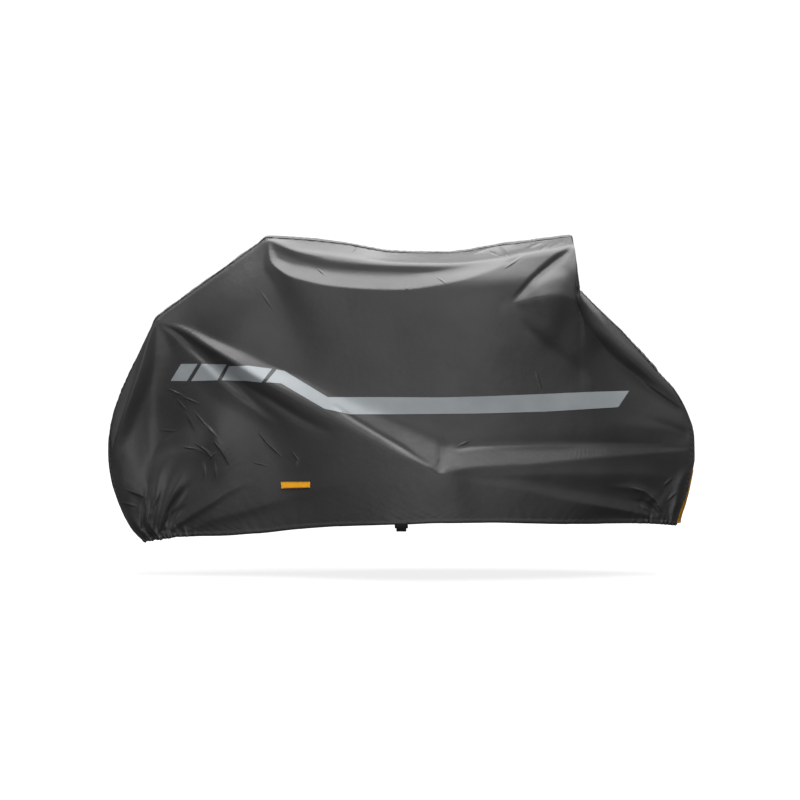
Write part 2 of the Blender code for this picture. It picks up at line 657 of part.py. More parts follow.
def main():
    for old in list(bpy.data.objects):
        bpy.data.objects.remove(old, do_unlink=True)
    fine_right = panel_surface(RIGHT_DEPTHS, RIGHT_FOLDS, -1)
    fine_left = panel_surface(LEFT_DEPTHS, LEFT_FOLDS, 1)
    right = pick(fine_right, PANEL_U, PANEL_V, PANEL_W)
    left = pick(fine_left, PANEL_U, PANEL_V, PANEL_W)
    strip = gusset_surface(right, left)
    outers, inners = sew(right, left, strip)
    panel_right = sheet_solid("panel_right", outers[0], inners[0], CLOTH)
    panel_left = sheet_solid("panel_left", outers[1], inners[1], CLOTH)
    strip_solid = sheet_solid("gusset", outers[2], inners[2], CLOTH)
    label(panel_right)
    tab(strip_solid)
    near = np.argmin(abs(right[:, 0, 0] - STRAP_X))
    hem_h = float(max(right[near - 1:near + 2, 0, 2]))
    ribbon("strap_right", strap_route(panel_right, -1, hem_h), -1, WEBBING)
    ribbon("strap_left", strap_route(panel_left, 1, hem_h), 1, WEBBING)
    buckle(hem_h - STRAP_DROP)


main()
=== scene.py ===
"""The looks of a fitted bicycle cover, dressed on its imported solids.

The cover hangs over a bicycle that is left out. Sizes are in millimetres, x
towards the front from the saddle and h above the ground. Folds are placed in
picture steps: the frame is 800 steps wide and high, x to the right and y
down, as the camera of this scene sees the right panel. The left panel uses
the same steps, seen in a mirror.
"""
import math

import bmesh
import bpy
import numpy as np
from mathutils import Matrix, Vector
from mathutils.bvhtree import BVHTree


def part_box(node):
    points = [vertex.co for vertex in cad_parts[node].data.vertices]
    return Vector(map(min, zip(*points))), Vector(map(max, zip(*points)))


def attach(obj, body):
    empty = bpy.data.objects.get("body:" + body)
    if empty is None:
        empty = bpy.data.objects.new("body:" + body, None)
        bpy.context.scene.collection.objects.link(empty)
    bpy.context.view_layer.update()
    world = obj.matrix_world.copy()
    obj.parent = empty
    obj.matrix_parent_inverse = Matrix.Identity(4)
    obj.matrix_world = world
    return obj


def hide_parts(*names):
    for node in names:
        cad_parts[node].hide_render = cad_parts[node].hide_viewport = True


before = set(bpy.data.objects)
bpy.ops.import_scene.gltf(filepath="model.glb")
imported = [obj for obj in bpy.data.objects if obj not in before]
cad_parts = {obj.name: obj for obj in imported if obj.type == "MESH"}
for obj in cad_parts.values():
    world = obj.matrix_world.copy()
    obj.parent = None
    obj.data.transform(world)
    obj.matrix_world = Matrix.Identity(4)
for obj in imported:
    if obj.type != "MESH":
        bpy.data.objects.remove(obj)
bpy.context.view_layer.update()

MM = 0.001
REST_X, REST_H = 0, 1020.5         # the origin, under the top at the saddle
SHEET = 1.2            # thickness of the cloth
FINE_U = 361           # points of a panel, rear to front
FINE_V = 207           # points of a panel, hem to shoulder
FINE_W = 11            # points of a panel, shoulder to seam
STRIP_W = 25           # points across the gusset

VIEW_X, VIEW_H = 303, 530          # the point that the camera looks at
VIEW_FAR = 10000                   # how far away the camera stands
VIEW_RISE = math.radians(4)        # how steeply it looks down
STEP = 3.03                        # millimetres in one picture step
PICTURE = 800                      # steps across the picture and down it

# The cover from rear to front, a row for each place along its seam: where the
# seam, the shoulder below it and the hem lie, each as x, h and the distance from
# the middle, and then how far the right panel and the left panel stand from the
# middle at four levels between hem and shoulder, the lowest first.
SECTIONS = (
    (-568, 455, 42, -571, 438, 42, -465, 103, 40, 42, 42, 42, 42, 42, 42, 42, 42),
    (-548, 527, 47, -547, 522, 52, -444, 106, 44, 52, 52, 52, 52, 56, 58, 56, 50),
    (-520, 594, 54, -518, 589, 62, -420, 110, 50, 56, 54, 57, 62, 66, 70, 66, 56),
    (-474, 690, 62, -471, 686, 74, -396, 114, 56, 58, 46, 56, 70, 76, 82, 76, 63),
    (-446, 750, 66, -443, 745, 78, -382, 117, 58, 60, 42, 54, 72, 83, 87, 80, 70),
    (-430, 782, 66, -426, 776, 78, -370, 119, 60, 62, 42, 53, 72, 86, 90, 82, 73),
    (-412, 795, 66, -408, 789, 77, -352, 120, 63, 66, 44, 55, 71, 90, 95, 85, 74),
    (-330, 855, 62, -326, 849, 71, -305, 123, 71, 80, 58, 72, 76, 106, 112, 98, 80),
    (-206, 944, 56, -202, 938, 64, -215, 127, 86, 98, 104, 103, 88, 134, 142, 114, 84),
    (-125, 1003, 50, -120, 997, 58, -140, 134, 98, 108, 114, 109, 87, 158, 160, 124, 88),
    (-97, 1023, 50, -90, 1014, 63, -115, 136, 101, 112, 117, 109, 88, 164, 164, 126, 90),
    (15, 1016, 50, 5, 977, 88, 0, 152, 120, 126, 130, 114, 100, 176, 180, 140, 108),
    (130, 1004, 50, 125, 952, 108, 120, 164, 144, 146, 144, 132, 117, 170, 174, 146, 124),
    (303, 978, 50, 303, 944, 134, 290, 171, 172, 170, 164, 154, 146, 168, 168, 168, 160),
    (450, 977, 50, 452, 946, 144, 430, 178, 178, 179, 177, 176, 170, 160, 168, 186, 184),
    (590, 997, 50, 600, 958, 142, 560, 178, 174, 176, 180, 186, 184, 150, 170, 200, 208),
    (715, 1013, 50, 722, 980, 146, 690, 174, 162, 166, 172, 184, 184, 136, 162, 202, 220),
    (817, 1025, 50, 821, 1002, 146, 795, 170, 146, 150, 158, 176, 184, 120, 146, 194, 220),
    (826, 930, 50, 826, 936, 184, 838, 169, 136, 141, 150, 170, 184, 112, 136, 182, 218),
    (833, 872, 50, 822, 873, 210, 880, 167, 124, 132, 142, 162, 182, 104, 124, 168, 204),
    (850, 856, 50, 836, 852, 194, 895, 167, 119, 128, 137, 155, 176, 100, 119, 155, 186),
    (940, 767, 50, 930, 752, 88, 965, 165, 96, 96, 103, 109, 104, 84, 94, 112, 130),
    (980, 729, 49, 972, 716, 74, 1015, 163, 80, 80, 86, 90, 85, 74, 81, 94, 106),
    (1012, 694, 48, 1007, 685, 63, 1060, 160, 66, 64, 70, 75, 70, 64, 68, 77, 84),
    (1072, 628, 44, 1080, 614, 45, 1136, 152, 40, 42, 44, 44, 44, 42, 44, 44, 44),
)
SEAM, SHOULDER, HEM, RIGHT_DEPTHS, LEFT_DEPTHS = np.split(np.array(SECTIONS, float), (3, 6, 9, 13), axis=1)
LEVELS = (0, 0.2, 0.45, 0.7, 0.88, 1)   # hem, the four levels and shoulder
LEVER_ROW, SLOPE_ROW = 17, 22             # sections over the brake lever and down the front slope
REAR_EDGE = (
    (-465, 103), (-501, 134), (-532, 190), (-551, 240), (-565, 290), (-573, 345), (-575, 400),
    (-571, 438))
FRONT_EDGE = (
    (1130, 152), (1149, 195), (1168, 250), (1182, 310), (1189, 360), (1187, 415), (1171, 484),
    (1134, 557), (1080, 614))

# Each fold has a name, how round its crest and its foot are, and a row for
# each place along its crest: x and y in picture steps, how far it stands out
# in millimetres, and its reach above and below the crest in picture steps.
# A crest is walked from left to right, or down where it stands upright, and
# then its right side counts as above.
RIGHT_FOLDS = (
    ("ledge from the rack to the pedal and the front wheel", 0.05, 0.07, (
        (157, 320, 1, 2, 2), (170, 325, 5, 4, 3), (185, 331, 10, 6, 6), (207, 345, 19, 9, 8),
        (236, 363, 28, 15, 14), (260, 378, 29, 18, 24), (290, 394, 30, 21, 44), (330, 416, 33, 23, 100),
        (380, 445, 43, 28, 260), (430, 469, 52, 28, 400), (441, 474, 53, 27, 400),
        (452, 471, 50, 27, 400), (467, 468, 41, 22, 400), (534, 464, 26, 15, 300),
        (591, 458, 17, 11, 160), (640, 454, 8, 7, 60), (684, 451, 2, 3, 16))),
    ("pleat beside the ledge", 0.25, 0.15, (
        (334, 405, -1, 2, 2), (350, 416, -4, 2.5, 2), (380, 434, -4, 2.5, 2), (400, 446, -6, 3, 2),
        (414, 455, -3, 2.5, 2), (428, 463, -1, 2, 2))),
    ("second fold under the ledge", 0.06, 0.1, (
        (158, 322, 1, 2, 3), (175, 336, 5, 3, 10), (190, 352, 8, 4, 16), (205, 366, 10, 4.5, 18),
        (227, 387, 10, 6, 18), (242, 399, 8, 6, 16), (258, 412, 4, 6, 13), (272, 423, 1, 6, 10))),
    ("third fold under the ledge", 0.15, 0.2, (
        (232, 374, -1, 3, 3), (248, 386, -4, 5, 5), (272, 400, -5, 6, 6), (300, 417, -4, 7, 7),
        (330, 432, -1, 7, 7))),
    ("soft fold down the rear edge", 0.08, 0.12, (
        (155, 323, 1, 2, 3), (147, 345, 9, 9, 11), (141, 365, 14, 12, 14), (131, 395, 18, 13, 15),
        (122, 420, 16, 13, 12), (114, 445, 9, 10, 7), (111, 462, 2, 6, 4))),
    ("hollow under the rack", 0.5, 0.4, (
        (158, 392, -2, 30, 12), (158, 425, -8, 60, 20), (156, 446, -8, 70, 14), (168, 448, -2, 40, 10))),
    ("broad fold over the rear wheel", 0.3, 0.3, (
        (176, 345, 3, 20, 30), (194, 390, 18, 24, 60), (212, 430, 22, 36, 66), (236, 468, 8, 44, 50))),
    ("line of the rack", 0.25, 0.35, (
        (158, 321, 1, 4, 8), (205, 317, 9, 30, 44), (262, 309, 14, 54, 66), (300, 304, 12, 48, 66),
        (345, 296, 3, 40, 60))),
    ("wide fold slung from the saddle to the bar", 0.05, 0.07, (
        (269, 246, 2, 3, 3), (272, 263, 12, 8, 8), (284, 274, 22, 12, 16), (310, 283, 28, 14, 60),
        (349, 289, 29, 14, 120), (400, 291, 29, 14, 160), (438, 287, 27, 14, 160),
        (476, 279, 24, 14, 140), (507, 267, 17, 12, 90), (523, 258, 9, 9, 50), (550, 249, 2, 5, 20))),
    ("crumple along the top", 0.2, 0.25, (
        (446, 259, -1, 2, 2), (458, 254, -4, 3, 3), (482, 251, -6, 3, 4), (505, 248, -5, 3, 4),
        (524, 246, -5, 3, 4), (552, 246, -1, 2, 3))),
    ("short crease before the bar", 0.2, 0.2, (
        (505, 266, -1, 2, 2), (514, 262, -4, 2, 3), (523, 256, -1, 2, 2))),
    ("thin ridge along the shoulder", 0.2, 0.25, (
        (270, 241, 1, 3, 3), (291, 250, 3, 3, 4), (330, 256, 4, 4, 4), (400, 264, 4, 4, 5),
        (450, 265, 4, 4, 5), (520, 253, 3, 4, 4), (566, 243, 1, 3, 3))),
    ("hollow above the wide fold", 0.4, 0.3, (
        (275, 251, -1, 4, 4), (300, 260, -4, 5, 6), (345, 268, -5, 5, 6), (400, 271, -3, 5, 5),
        (450, 274, -1.5, 5, 5), (486, 270, -0.5, 5, 5))),
    ("hollow behind the bar", 0.08, 0.12, (
        (514, 300, -2, 3, 4), (526, 286, -8, 3, 8), (540, 272, -11, 3, 10), (554, 260, -12, 3, 9),
        (565, 252, -9, 3, 6), (572, 247, -2, 2, 3))),
    ("fold down to the brake lever", 0.04, 0.07, (
        (513, 304, 4, 5, 20), (528, 300, 18, 12, 50), (545, 296, 31, 23, 60), (558, 295, 27, 26, 60),
        (572, 298, 15, 16, 60), (588, 308, 6, 10, 50), (606, 324, 1, 6, 40))),
    ("ridge from the lever to the front wheel", 0.2, 0.3, (
        (584, 304, 1, 6, 5), (603, 325, 5, 9, 8), (632, 354, 7, 10, 8), (664, 386, 5, 8, 7),
        (683, 404, 1, 5, 5))),
    ("hollow under the front slope", 0.12, 0.12, (
        (582, 320, -1, 5, 20), (594, 334, -8, 7, 40), (608, 348, -26, 8, 60), (633, 372, -30, 8, 60),
        (655, 391, -22, 7, 50), (672, 404, -11, 6, 30), (685, 413, -3, 4, 16))),
    ("thin ridge under it", 0.12, 0.2, (
        (618, 362, 1, 3, 4), (640, 378, 4, 4, 6), (664, 395, 5, 4, 6), (688, 412, 2, 3, 4))),
    ("hollow from the bar to the front wheel", 0.25, 0.3, (
        (518, 319, -1, 5, 16), (534, 336, -6, 9, 40), (552, 352, -10, 11, 50), (572, 368, -9, 11, 50),
        (593, 382, -2, 8, 24))),
    ("soft folds at the front edge", 0.4, 0.3, (
        (600, 424, 1, 10, 10), (650, 427, 4, 8, 9), (688, 436, 3, 5, 5), (694, 440, 1, 4, 4))),
    ("hollow at the front edge", 0.3, 0.2, (
        (650, 420, -1, 5, 8), (670, 427, -6, 6, 14), (686, 434, -8, 6, 12), (694, 439, -2, 3, 5))),
    ("hollow over the shelf", 0.2, 0.3, (
        (457, 449, -1, 3, 2), (472, 446, -3, 7, 3), (520, 444, -4, 9, 3), (600, 443, -3, 8, 3),
        (660, 444, -1, 5, 2))),
    ("soft fold under the shelf", 0.3, 0.3, (
        (505, 474, 1, 6, 6), (560, 473, 5, 9, 11), (600, 474, 7, 10, 15), (635, 474, 6, 10, 18),
        (668, 478, 1, 8, 10))),
    ("fold under it", 0.08, 0.12, (
        (455, 477, 0.5, 3, 20), (480, 482, 3, 4, 50), (520, 488, 7, 7, 60), (560, 498, 10, 10, 50),
        (600, 505, 11, 11, 12), (630, 511, 8, 10, 7), (655, 517, 2, 5, 4))),
    ("fold over the front hem", 0.12, 0.15, (
        (612, 486, 1, 4, 4), (635, 488, 5, 5, 7), (655, 500, 7, 7, 7), (667, 520, 4, 4, 4))),
    ("crumple under it", 0.15, 0.2, (
        (630, 500, -0.5, 3, 3), (645, 503, -4, 3, 4), (656, 514, -4, 3, 4), (660, 523, -2, 3, 3))),
    ("facet before the front hem", 0.12, 0.15, (
        (690, 468, 1, 4, 5), (680, 482, 6, 8, 8), (676, 500, 7, 7, 8), (672, 521, 3, 4, 4))),
    ("fold from the rear hem", 0.12, 0.2, (
        (172, 529, 2, 3, 3), (185, 519, 6, 8, 5), (207, 505, 6, 10, 6), (230, 490, 3, 10, 6),
        (246, 483, 1, 6, 5))),
    ("long step over the hem", 0.25, 0.3, (
        (192, 530, 1, 6, 5), (207, 521, 4, 14, 7), (236, 512, 5, 30, 9), (260, 505, 5, 32, 9),
        (290, 495, 4, 30, 10), (330, 484, 2, 24, 10), (356, 479, 0.5, 16, 8))),
    ("crinkle under the stripe", 0.2, 0.25, (
        (167, 386, 0.3, 1.5, 2), (180, 395, 1.6, 1.6, 3), (198, 404, 0.3, 1.5, 2))),
    ("crinkle beside it", 0.2, 0.25, (
        (178, 399, 0.4, 2, 2), (190, 418, 2.2, 2.4, 4), (197, 434, 0.5, 2, 3))),
    ("crinkle down the rear wheel", 0.15, 0.2, (
        (192, 410, 0.4, 2, 2), (203, 422, 2.6, 2, 4), (216, 437, 2.8, 2, 5), (229, 463, 0.4, 2, 3))),
    ("crinkle across it", 0.15, 0.2, (
        (182, 446, 0.4, 1.5, 2), (196, 449, 2, 1.6, 3), (208, 452, 2.2, 1.6, 3),
        (217, 459, 0.3, 1.5, 2))),
    ("crinkle below it", 0.2, 0.25, (
        (202, 458, 0.3, 2, 2), (205, 468, 1.6, 2.5, 2.5), (204, 480, 0.3, 2, 2))),
    ("crinkle beside that", 0.2, 0.25, (
        (214, 459, 0.3, 2, 2), (216, 469, 1.4, 2.5, 2.5), (215, 479, 0.3, 2, 2))),
    ("soft fold over the rear wheel", 0.3, 0.3, (
        (184, 376, 1, 10, 8), (196, 410, 5, 20, 12), (208, 440, 6, 22, 14), (220, 466, 2, 18, 14))),
    ("crinkle by the label", 0.2, 0.25, (
        (260, 433, 0.3, 1.5, 2), (270, 444, 1.2, 1.8, 2.5), (281, 456, 0.3, 1.5, 2))),
    ("crinkle over the label", 0.2, 0.25, (
        (294, 450, 0.3, 1.5, 2), (297, 458, 1.2, 1.8, 2), (298, 469, 0.3, 1.5, 2))),
    ("pillow over the rear hem", 0.3, 0.3, (
        (150, 468, 2, 6, 8), (172, 456, 7, 8, 18), (193, 452, 2, 7, 12))),
    ("lobe over the rear hem", 0.2, 0.25, (
        (171, 457, 3, 10, 12), (161, 472, 9, 10, 12), (157, 492, 12, 8, 8), (154, 514, 9, 6, 6),
        (151, 532, 4, 3, 3))),
    ("second lobe over the rear hem", 0.15, 0.2, (
        (186, 468, 1, 8, 8), (176, 486, 8, 8, 8), (167, 506, 9, 7, 7), (159, 530, 4, 3, 3))),
    ("hollow before the lobe", 0.12, 0.15, (
        (163, 531, -5, 3, 3), (169, 512, -9, 4, 5), (179, 497, -8, 5, 5), (190, 482, -1, 5, 6))),
    ("lobe behind it", 0.2, 0.25, (
        (131, 488, 2, 5, 5), (142, 494, 5, 6, 6), (147, 508, 6, 5, 5), (147, 530, 3, 3, 3))),
    ("hollow between the lobes", 0.12, 0.15, (
        (143, 528, -6, 3, 3), (144, 508, -7, 4, 3), (146, 495, -3, 4, 3), (148, 484, -1, 4, 4))),
    ("short hollow at the hem", 0.12, 0.15, (
        (166, 531, -5, 2.5, 3), (172, 516, -6, 3, 4), (184, 507, -1, 4, 4))),
    ("bulge at the rear edge", 0.4, 0.3, (
        (124, 502, 1, 5, 5), (135, 489, 4, 6, 8), (148, 492, 1, 5, 6))),
)
LEFT_FOLDS = (
    ("ledge from the rack to the pedal and the front wheel", 0.12, 0.2, (
        (160, 323, 1, 3, 3), (200, 362, 12, 13, 14), (246, 400, 20, 20, 22), (286, 446, 26, 24, 40),
        (312, 470, 30, 26, 46), (360, 468, 20, 18, 44), (480, 461, 17, 15, 40), (600, 458, 11, 11, 30),
        (676, 458, 3, 5, 16))),
    ("fold under the rack", 0.3, 0.3, (
        (160, 325, 1, 6, 6), (182, 372, 7, 12, 11), (196, 412, 8, 13, 12), (201, 462, 2, 10, 10))),
    ("soft fold down the rear edge", 0.35, 0.3, (
        (156, 330, 1, 5, 5), (134, 380, 6, 10, 9), (119, 420, 7, 11, 9), (112, 468, 1, 7, 6))),
    ("wide fold slung from the saddle to the bar", 0.1, 0.15, (
        (270, 250, 2, 3, 4), (290, 272, 16, 12, 20), (338, 286, 23, 15, 44), (400, 290, 24, 15, 50),
        (452, 284, 20, 14, 46), (498, 270, 14, 12, 30), (550, 250, 3, 6, 16))),
    ("thin ridge along the shoulder", 0.2, 0.25, (
        (272, 242, 1, 3, 3), (330, 257, 4, 4, 4), (400, 264, 4, 4, 5), (470, 263, 3, 4, 5),
        (562, 243, 1, 3, 3))),
    ("hollow behind the bar", 0.2, 0.25, (
        (518, 297, -2, 4, 5), (540, 268, -10, 6, 9), (570, 246, -3, 4, 4))),
    ("fold down to the brake lever", 0.12, 0.2, (
        (514, 303, 4, 8, 20), (546, 296, 18, 20, 38), (578, 292, 14, 26, 30))),
    ("ridge from the lever to the front wheel", 0.3, 0.25, (
        (584, 302, 2, 8, 8), (622, 348, 10, 13, 14), (672, 389, 5, 8, 9), (690, 405, 1, 4, 4))),
    ("fold from the bar to the front wheel", 0.25, 0.3, (
        (522, 316, 1, 12, 10), (560, 350, 8, 24, 15), (612, 386, 4, 20, 15))),
    ("fold under the shelf", 0.2, 0.3, (
        (330, 482, 1, 6, 6), (440, 492, 7, 10, 9), (560, 504, 8, 11, 8), (640, 516, 3, 6, 5))),
    ("fold from the rear hem", 0.3, 0.3, (
        (176, 527, 2, 4, 4), (206, 502, 7, 8, 9), (262, 480, 2, 9, 12))),
    ("lobe over the rear hem", 0.3, 0.3, (
        (153, 531, 3, 3, 3), (158, 506, 7, 7, 7), (168, 476, 3, 9, 9))),
)

CHANNEL = 14           # height of the hem's channel
# where the elastic gathers the hem: the place as a share of its length, how
# far the gathers reach along it and how deep they are
GATHERS = (
    (0.03, 46, 4.6), (0.075, 30, 1.6), (0.3, 420, 0.3), (0.7, 420, 0.3), (0.95, 50, 3.6),
    (0.985, 24, 2.4))

# fine creases: both ends in picture steps, half the width in millimetres and the height
CRINKLES = (
    (168, 389, 184, 396, 4, 1), (181, 396, 200, 404, 4, 0.9), (176, 398, 188, 412, 5, 0.7),
    (186, 411, 195, 431, 6, 0.8), (194, 411, 206, 426, 5, 1), (205, 424, 218, 438, 6, 1.2),
    (213, 440, 222, 452, 5, 1), (220, 447, 229, 464, 6, 1), (183, 447, 196, 449, 4, 1.1),
    (195, 443, 210, 453, 5, 1.3), (206, 451, 213, 459, 4, 1.3), (209, 459, 216, 452, 4, 0.9),
    (203, 461, 205, 476, 6, 0.7), (214, 461, 216, 478, 6, 0.7), (160, 430, 178, 431, 5, 0.5),
    (259, 433, 268, 444, 4, 0.8), (267, 443, 281, 456, 4, 0.9), (252, 462, 268, 466, 4, 0.5),
    (292, 452, 299, 461, 4, 0.8), (298, 458, 296, 469, 4, 0.7), (125, 489, 146, 497, 7, 0.9),
    (120, 502, 137, 506, 6, 0.6), (536, 372, 541, 389, 5, 0.7), (261, 292, 274, 311, 5, 0.6),
    (318, 269, 325, 275, 4, 0.8), (404, 292, 409, 286, 4, 0.8), (448, 257, 462, 250, 6, 1.3),
    (461, 258, 478, 248, 6, 1), (474, 253, 497, 246, 6, 1.3), (488, 251, 500, 256, 5, 1),
    (500, 247, 508, 257, 6, 1.2), (512, 243, 530, 248, 6, 1), (524, 250, 540, 243, 6, 1.2),
    (540, 250, 551, 243, 5, 1), (552, 246, 566, 240, 6, 1), (505, 268, 521, 257, 5, 1.2),
    (437, 277, 446, 283, 4, 0.7), (352, 252, 357, 247, 4, 0.9), (362, 254, 364, 247, 4, 0.9),
    (376, 256, 374, 249, 4, 0.9), (386, 257, 388, 250, 4, 0.9), (398, 258, 396, 251, 4, 0.9),
    (441, 434, 446, 446, 5, 0.6), (458, 446, 470, 441, 5, 0.8), (631, 488, 646, 492, 6, 1.1),
    (646, 492, 658, 503, 6, 1.2), (657, 500, 662, 512, 6, 1.1), (639, 505, 652, 512, 6, 1),
    (664, 486, 672, 478, 7, 0.9), (668, 500, 676, 492, 7, 0.9), (153, 508, 160, 492, 6, 0.8),
    (171, 520, 180, 508, 6, 0.9), (149, 520, 152, 508, 5, 1), (164, 524, 168, 512, 5, 1))

# the stripe in picture steps: three short parts at the rear, then the long band
STRIPE_PARTS = (
    ((181, 364), (197.6, 363.8), (186.9, 381.1), (170.7, 380.9)),
    ((201.8, 363.8), (226.5, 364.5), (217.2, 380.3), (191.1, 381.1)))
STRIPE_THIRD = ((
    (229, 366.3), (248.4, 365.7), (272, 368.8)), (
    (221.7, 380.3), (247, 380.9), (261.3, 382.6)))
STRIPE_LONG = ((
    (276.7, 369.4), (284.2, 370.8), (327.7, 397.1), (345, 397.2), (380, 397.1), (441.3, 397.4),
    (474.4, 396.6), (498, 395.8), (545.2, 393.9), (592.4, 391.8), (629, 390.8)), (
    (265.9, 382.3), (281, 383.4), (324.2, 408.6), (349.4, 414.3), (380, 414.3), (441.3, 413.8),
    (474.4, 413.5), (498, 412.9), (545.2, 411.6), (585, 409.2), (618.3, 407.1)))
LABEL = ((281, 481.9), (310.2, 481.9), (310.2, 487.4), (281.4, 488.2))
LABEL_OFF = 2.2        # how far the foot of the label stands off
SEAM_STITCH = 5        # how far the stitches lie from the seam
TAB_ROWS, TAB_COLS = 65, 25
TAB_LOW, TAB_HIGH = 158, 318
TAB_HALF_LOW, TAB_HALF_HIGH = 36, 26
TAB_BULGE = 9          # how far the foot of the tab swells out
STRAP_X, STRAP_WIDE, STRAP_THICK = 307, 30, 1.6
STRAP_SEWN = 34        # how far a strap is sewn up inside the hem
BUCKLE_LONG, BUCKLE_SLOT = 30, 6


def smooth(knots, values, places):
    """A smooth curve through the values that never overshoots them."""
    knots = np.asarray(knots, float)
    values = np.asarray(values, float)
    step = np.diff(knots)
    shape = (-1,) + (1,) * (values.ndim - 1)
    wide = step.reshape(shape)
    rise = np.diff(values, axis=0) / wide
    slope = np.zeros_like(values)
    slope[0], slope[-1] = rise[0], rise[-1]
    before, after = rise[:-1], rise[1:]
    mean = (before * wide[1:] + after * wide[:-1]) / (wide[:-1] + wide[1:])
    limit = 2 * np.minimum(np.abs(before), np.abs(after))
    mean = np.sign(mean) * np.minimum(np.abs(mean), limit)
    slope[1:-1] = np.where(before * after > 0, mean, 0)
    places = np.clip(np.asarray(places, float), knots[0], knots[-1])
    index = np.clip(np.searchsorted(knots, places, side="right") - 1, 0, len(step) - 1)
    t = ((places - knots[index]) / step[index]).reshape(shape)
    size = step[index].reshape(shape)
    a, b = values[index], values[index + 1]
    return ((2 * t ** 3 - 3 * t ** 2 + 1) * a + (t ** 3 - 2 * t ** 2 + t) * size * slope[index]
            + (3 * t ** 2 - 2 * t ** 3) * b + (t ** 3 - t ** 2) * size * slope[index + 1])


def lengths(points):
    """The length run at each point of a line."""
    gaps = np.linalg.norm(np.diff(points, axis=0), axis=1)
    return np.concatenate([[0.0], np.cumsum(gaps)])


def along(points):
    """The share of the length at each point of a line."""
    total = lengths(points)
    return total / total[-1]


def unit(vectors):
    """The same directions with a length of one."""
    return vectors / np.maximum(np.linalg.norm(vectors, axis=-1, keepdims=True), 1e-9)


def soften(grid, rounds):
    """Round off the inside of a grid and leave its edges where they are."""
    for _ in range(rounds):
        inner = grid[1:-1, 1:-1]
        mean = (grid[:-2, 1:-1] + grid[2:, 1:-1] + grid[1:-1, :-2] + grid[1:-1, 2:]) / 4
        grid[1:-1, 1:-1] = inner + 0.5 * (mean - inner)
    return grid


def seen(grid, side):
    """Where points stand in the picture, the left panel's as in a mirror."""
    x = grid[..., 0] - VIEW_X
    y = -side * grid[..., 1]
    z = grid[..., 2] - VIEW_H
    depth = VIEW_FAR + y * math.cos(VIEW_RISE) - z * math.sin(VIEW_RISE)
    scale = VIEW_FAR / STEP / depth
    up = y * math.sin(VIEW_RISE) + z * math.cos(VIEW_RISE)
    return PICTURE / 2 + scale * x, PICTURE / 2 - scale * up


def sight(x, y, side):
    """The direction in which the camera sees a picture place, or its mirror image does."""
    across = (x - PICTURE / 2) * STEP / VIEW_FAR
    up = (PICTURE / 2 - y) * STEP / VIEW_FAR
    forward = math.cos(VIEW_RISE) + up * math.sin(VIEW_RISE)
    return np.array([across, -side * forward, up * math.cos(VIEW_RISE) - math.sin(VIEW_RISE)])


def eye(side):
    """Where the camera stands, or its mirror image."""
    return np.array([VIEW_X, side * VIEW_FAR * math.cos(VIEW_RISE),
                     VIEW_H + VIEW_FAR * math.sin(VIEW_RISE)])


def fold_height(folds, px, py):
    """How far the folds move the cloth outward at the given places."""
    total = np.zeros_like(px)
    for _, crest, foot, places in folds:
        table = np.array(places, float)
        t = np.linspace(0, 1, 8 * (len(places) - 1) + 1)
        line = smooth(along(table[:, :2]), table, t)
        wide = line[:, 3:].max() * (1 + 6 * foot)
        inside = ((px > line[:, 0].min() - wide) & (px < line[:, 0].max() + wide)
                  & (py > line[:, 1].min() - wide) & (py < line[:, 1].max() + wide))
        x, y = px[inside], py[inside]
        parts = []
        for i in range(len(t) - 1):
            dx, dy = line[i + 1, :2] - line[i, :2]
            length = math.hypot(dx, dy)
            part = np.clip(((x - line[i, 0]) * dx + (y - line[i, 1]) * dy) / length ** 2, 0, 1)
            ox, oy = x - line[i, 0] - part * dx, y - line[i, 1] - part * dy
            gap = np.hypot(ox, oy)
            side = (dx * oy - dy * ox) / (length * np.maximum(gap, 1e-6))
            parts.append((i, part, gap, side))
        # the nearest part of the crest counts, blended where two are equally near
        near = np.min([gap for _, _, gap, _ in parts], axis=0)
        share, high = np.zeros_like(x), np.zeros_like(x)
        for i, part, gap, side in parts:
            weight = np.exp(-(gap - near) / (0.25 + 0.08 * near))
            out, above, below = (line[i, k] + part * (line[i + 1, k] - line[i, k])
                                 for k in (2, 3, 4))
            reach = above + (below - above) * (0.5 + 0.5 * side)
            r = np.sqrt((gap / reach) ** 2 + crest ** 2)
            high += weight * out * foot * np.log1p(np.exp((1 - r) / foot))
            share += weight
        total[inside] += high / share
    return total


def value_noise(x, y, size, seed):
    """Smooth unevenness from -1 to 1 with lumps of the given size."""
    table = np.random.default_rng(seed).uniform(-1, 1, (64, 64))
    gx, gy = x / size + 512, y / size + 512
    ix, iy = np.floor(gx).astype(int), np.floor(gy).astype(int)
    fx, fy = gx - ix, gy - iy
    fx, fy = fx * fx * (3 - 2 * fx), fy * fy * (3 - 2 * fy)
    low, high = (table[ix % 64, (iy + k) % 64] * (1 - fx) + table[(ix + 1) % 64, (iy + k) % 64] * fx
                 for k in (0, 1))
    return low * (1 - fy) + high * fy


def spaced(count, density):
    """Places from 0 to 1, closer together where the density is higher."""
    t = np.linspace(0, 1, 2001)
    dense = density(t)
    share = np.concatenate([[0.0], np.cumsum((dense[1:] + dense[:-1]) / 2)])
    return np.interp(np.linspace(0, 1, count), share / share[-1], t)


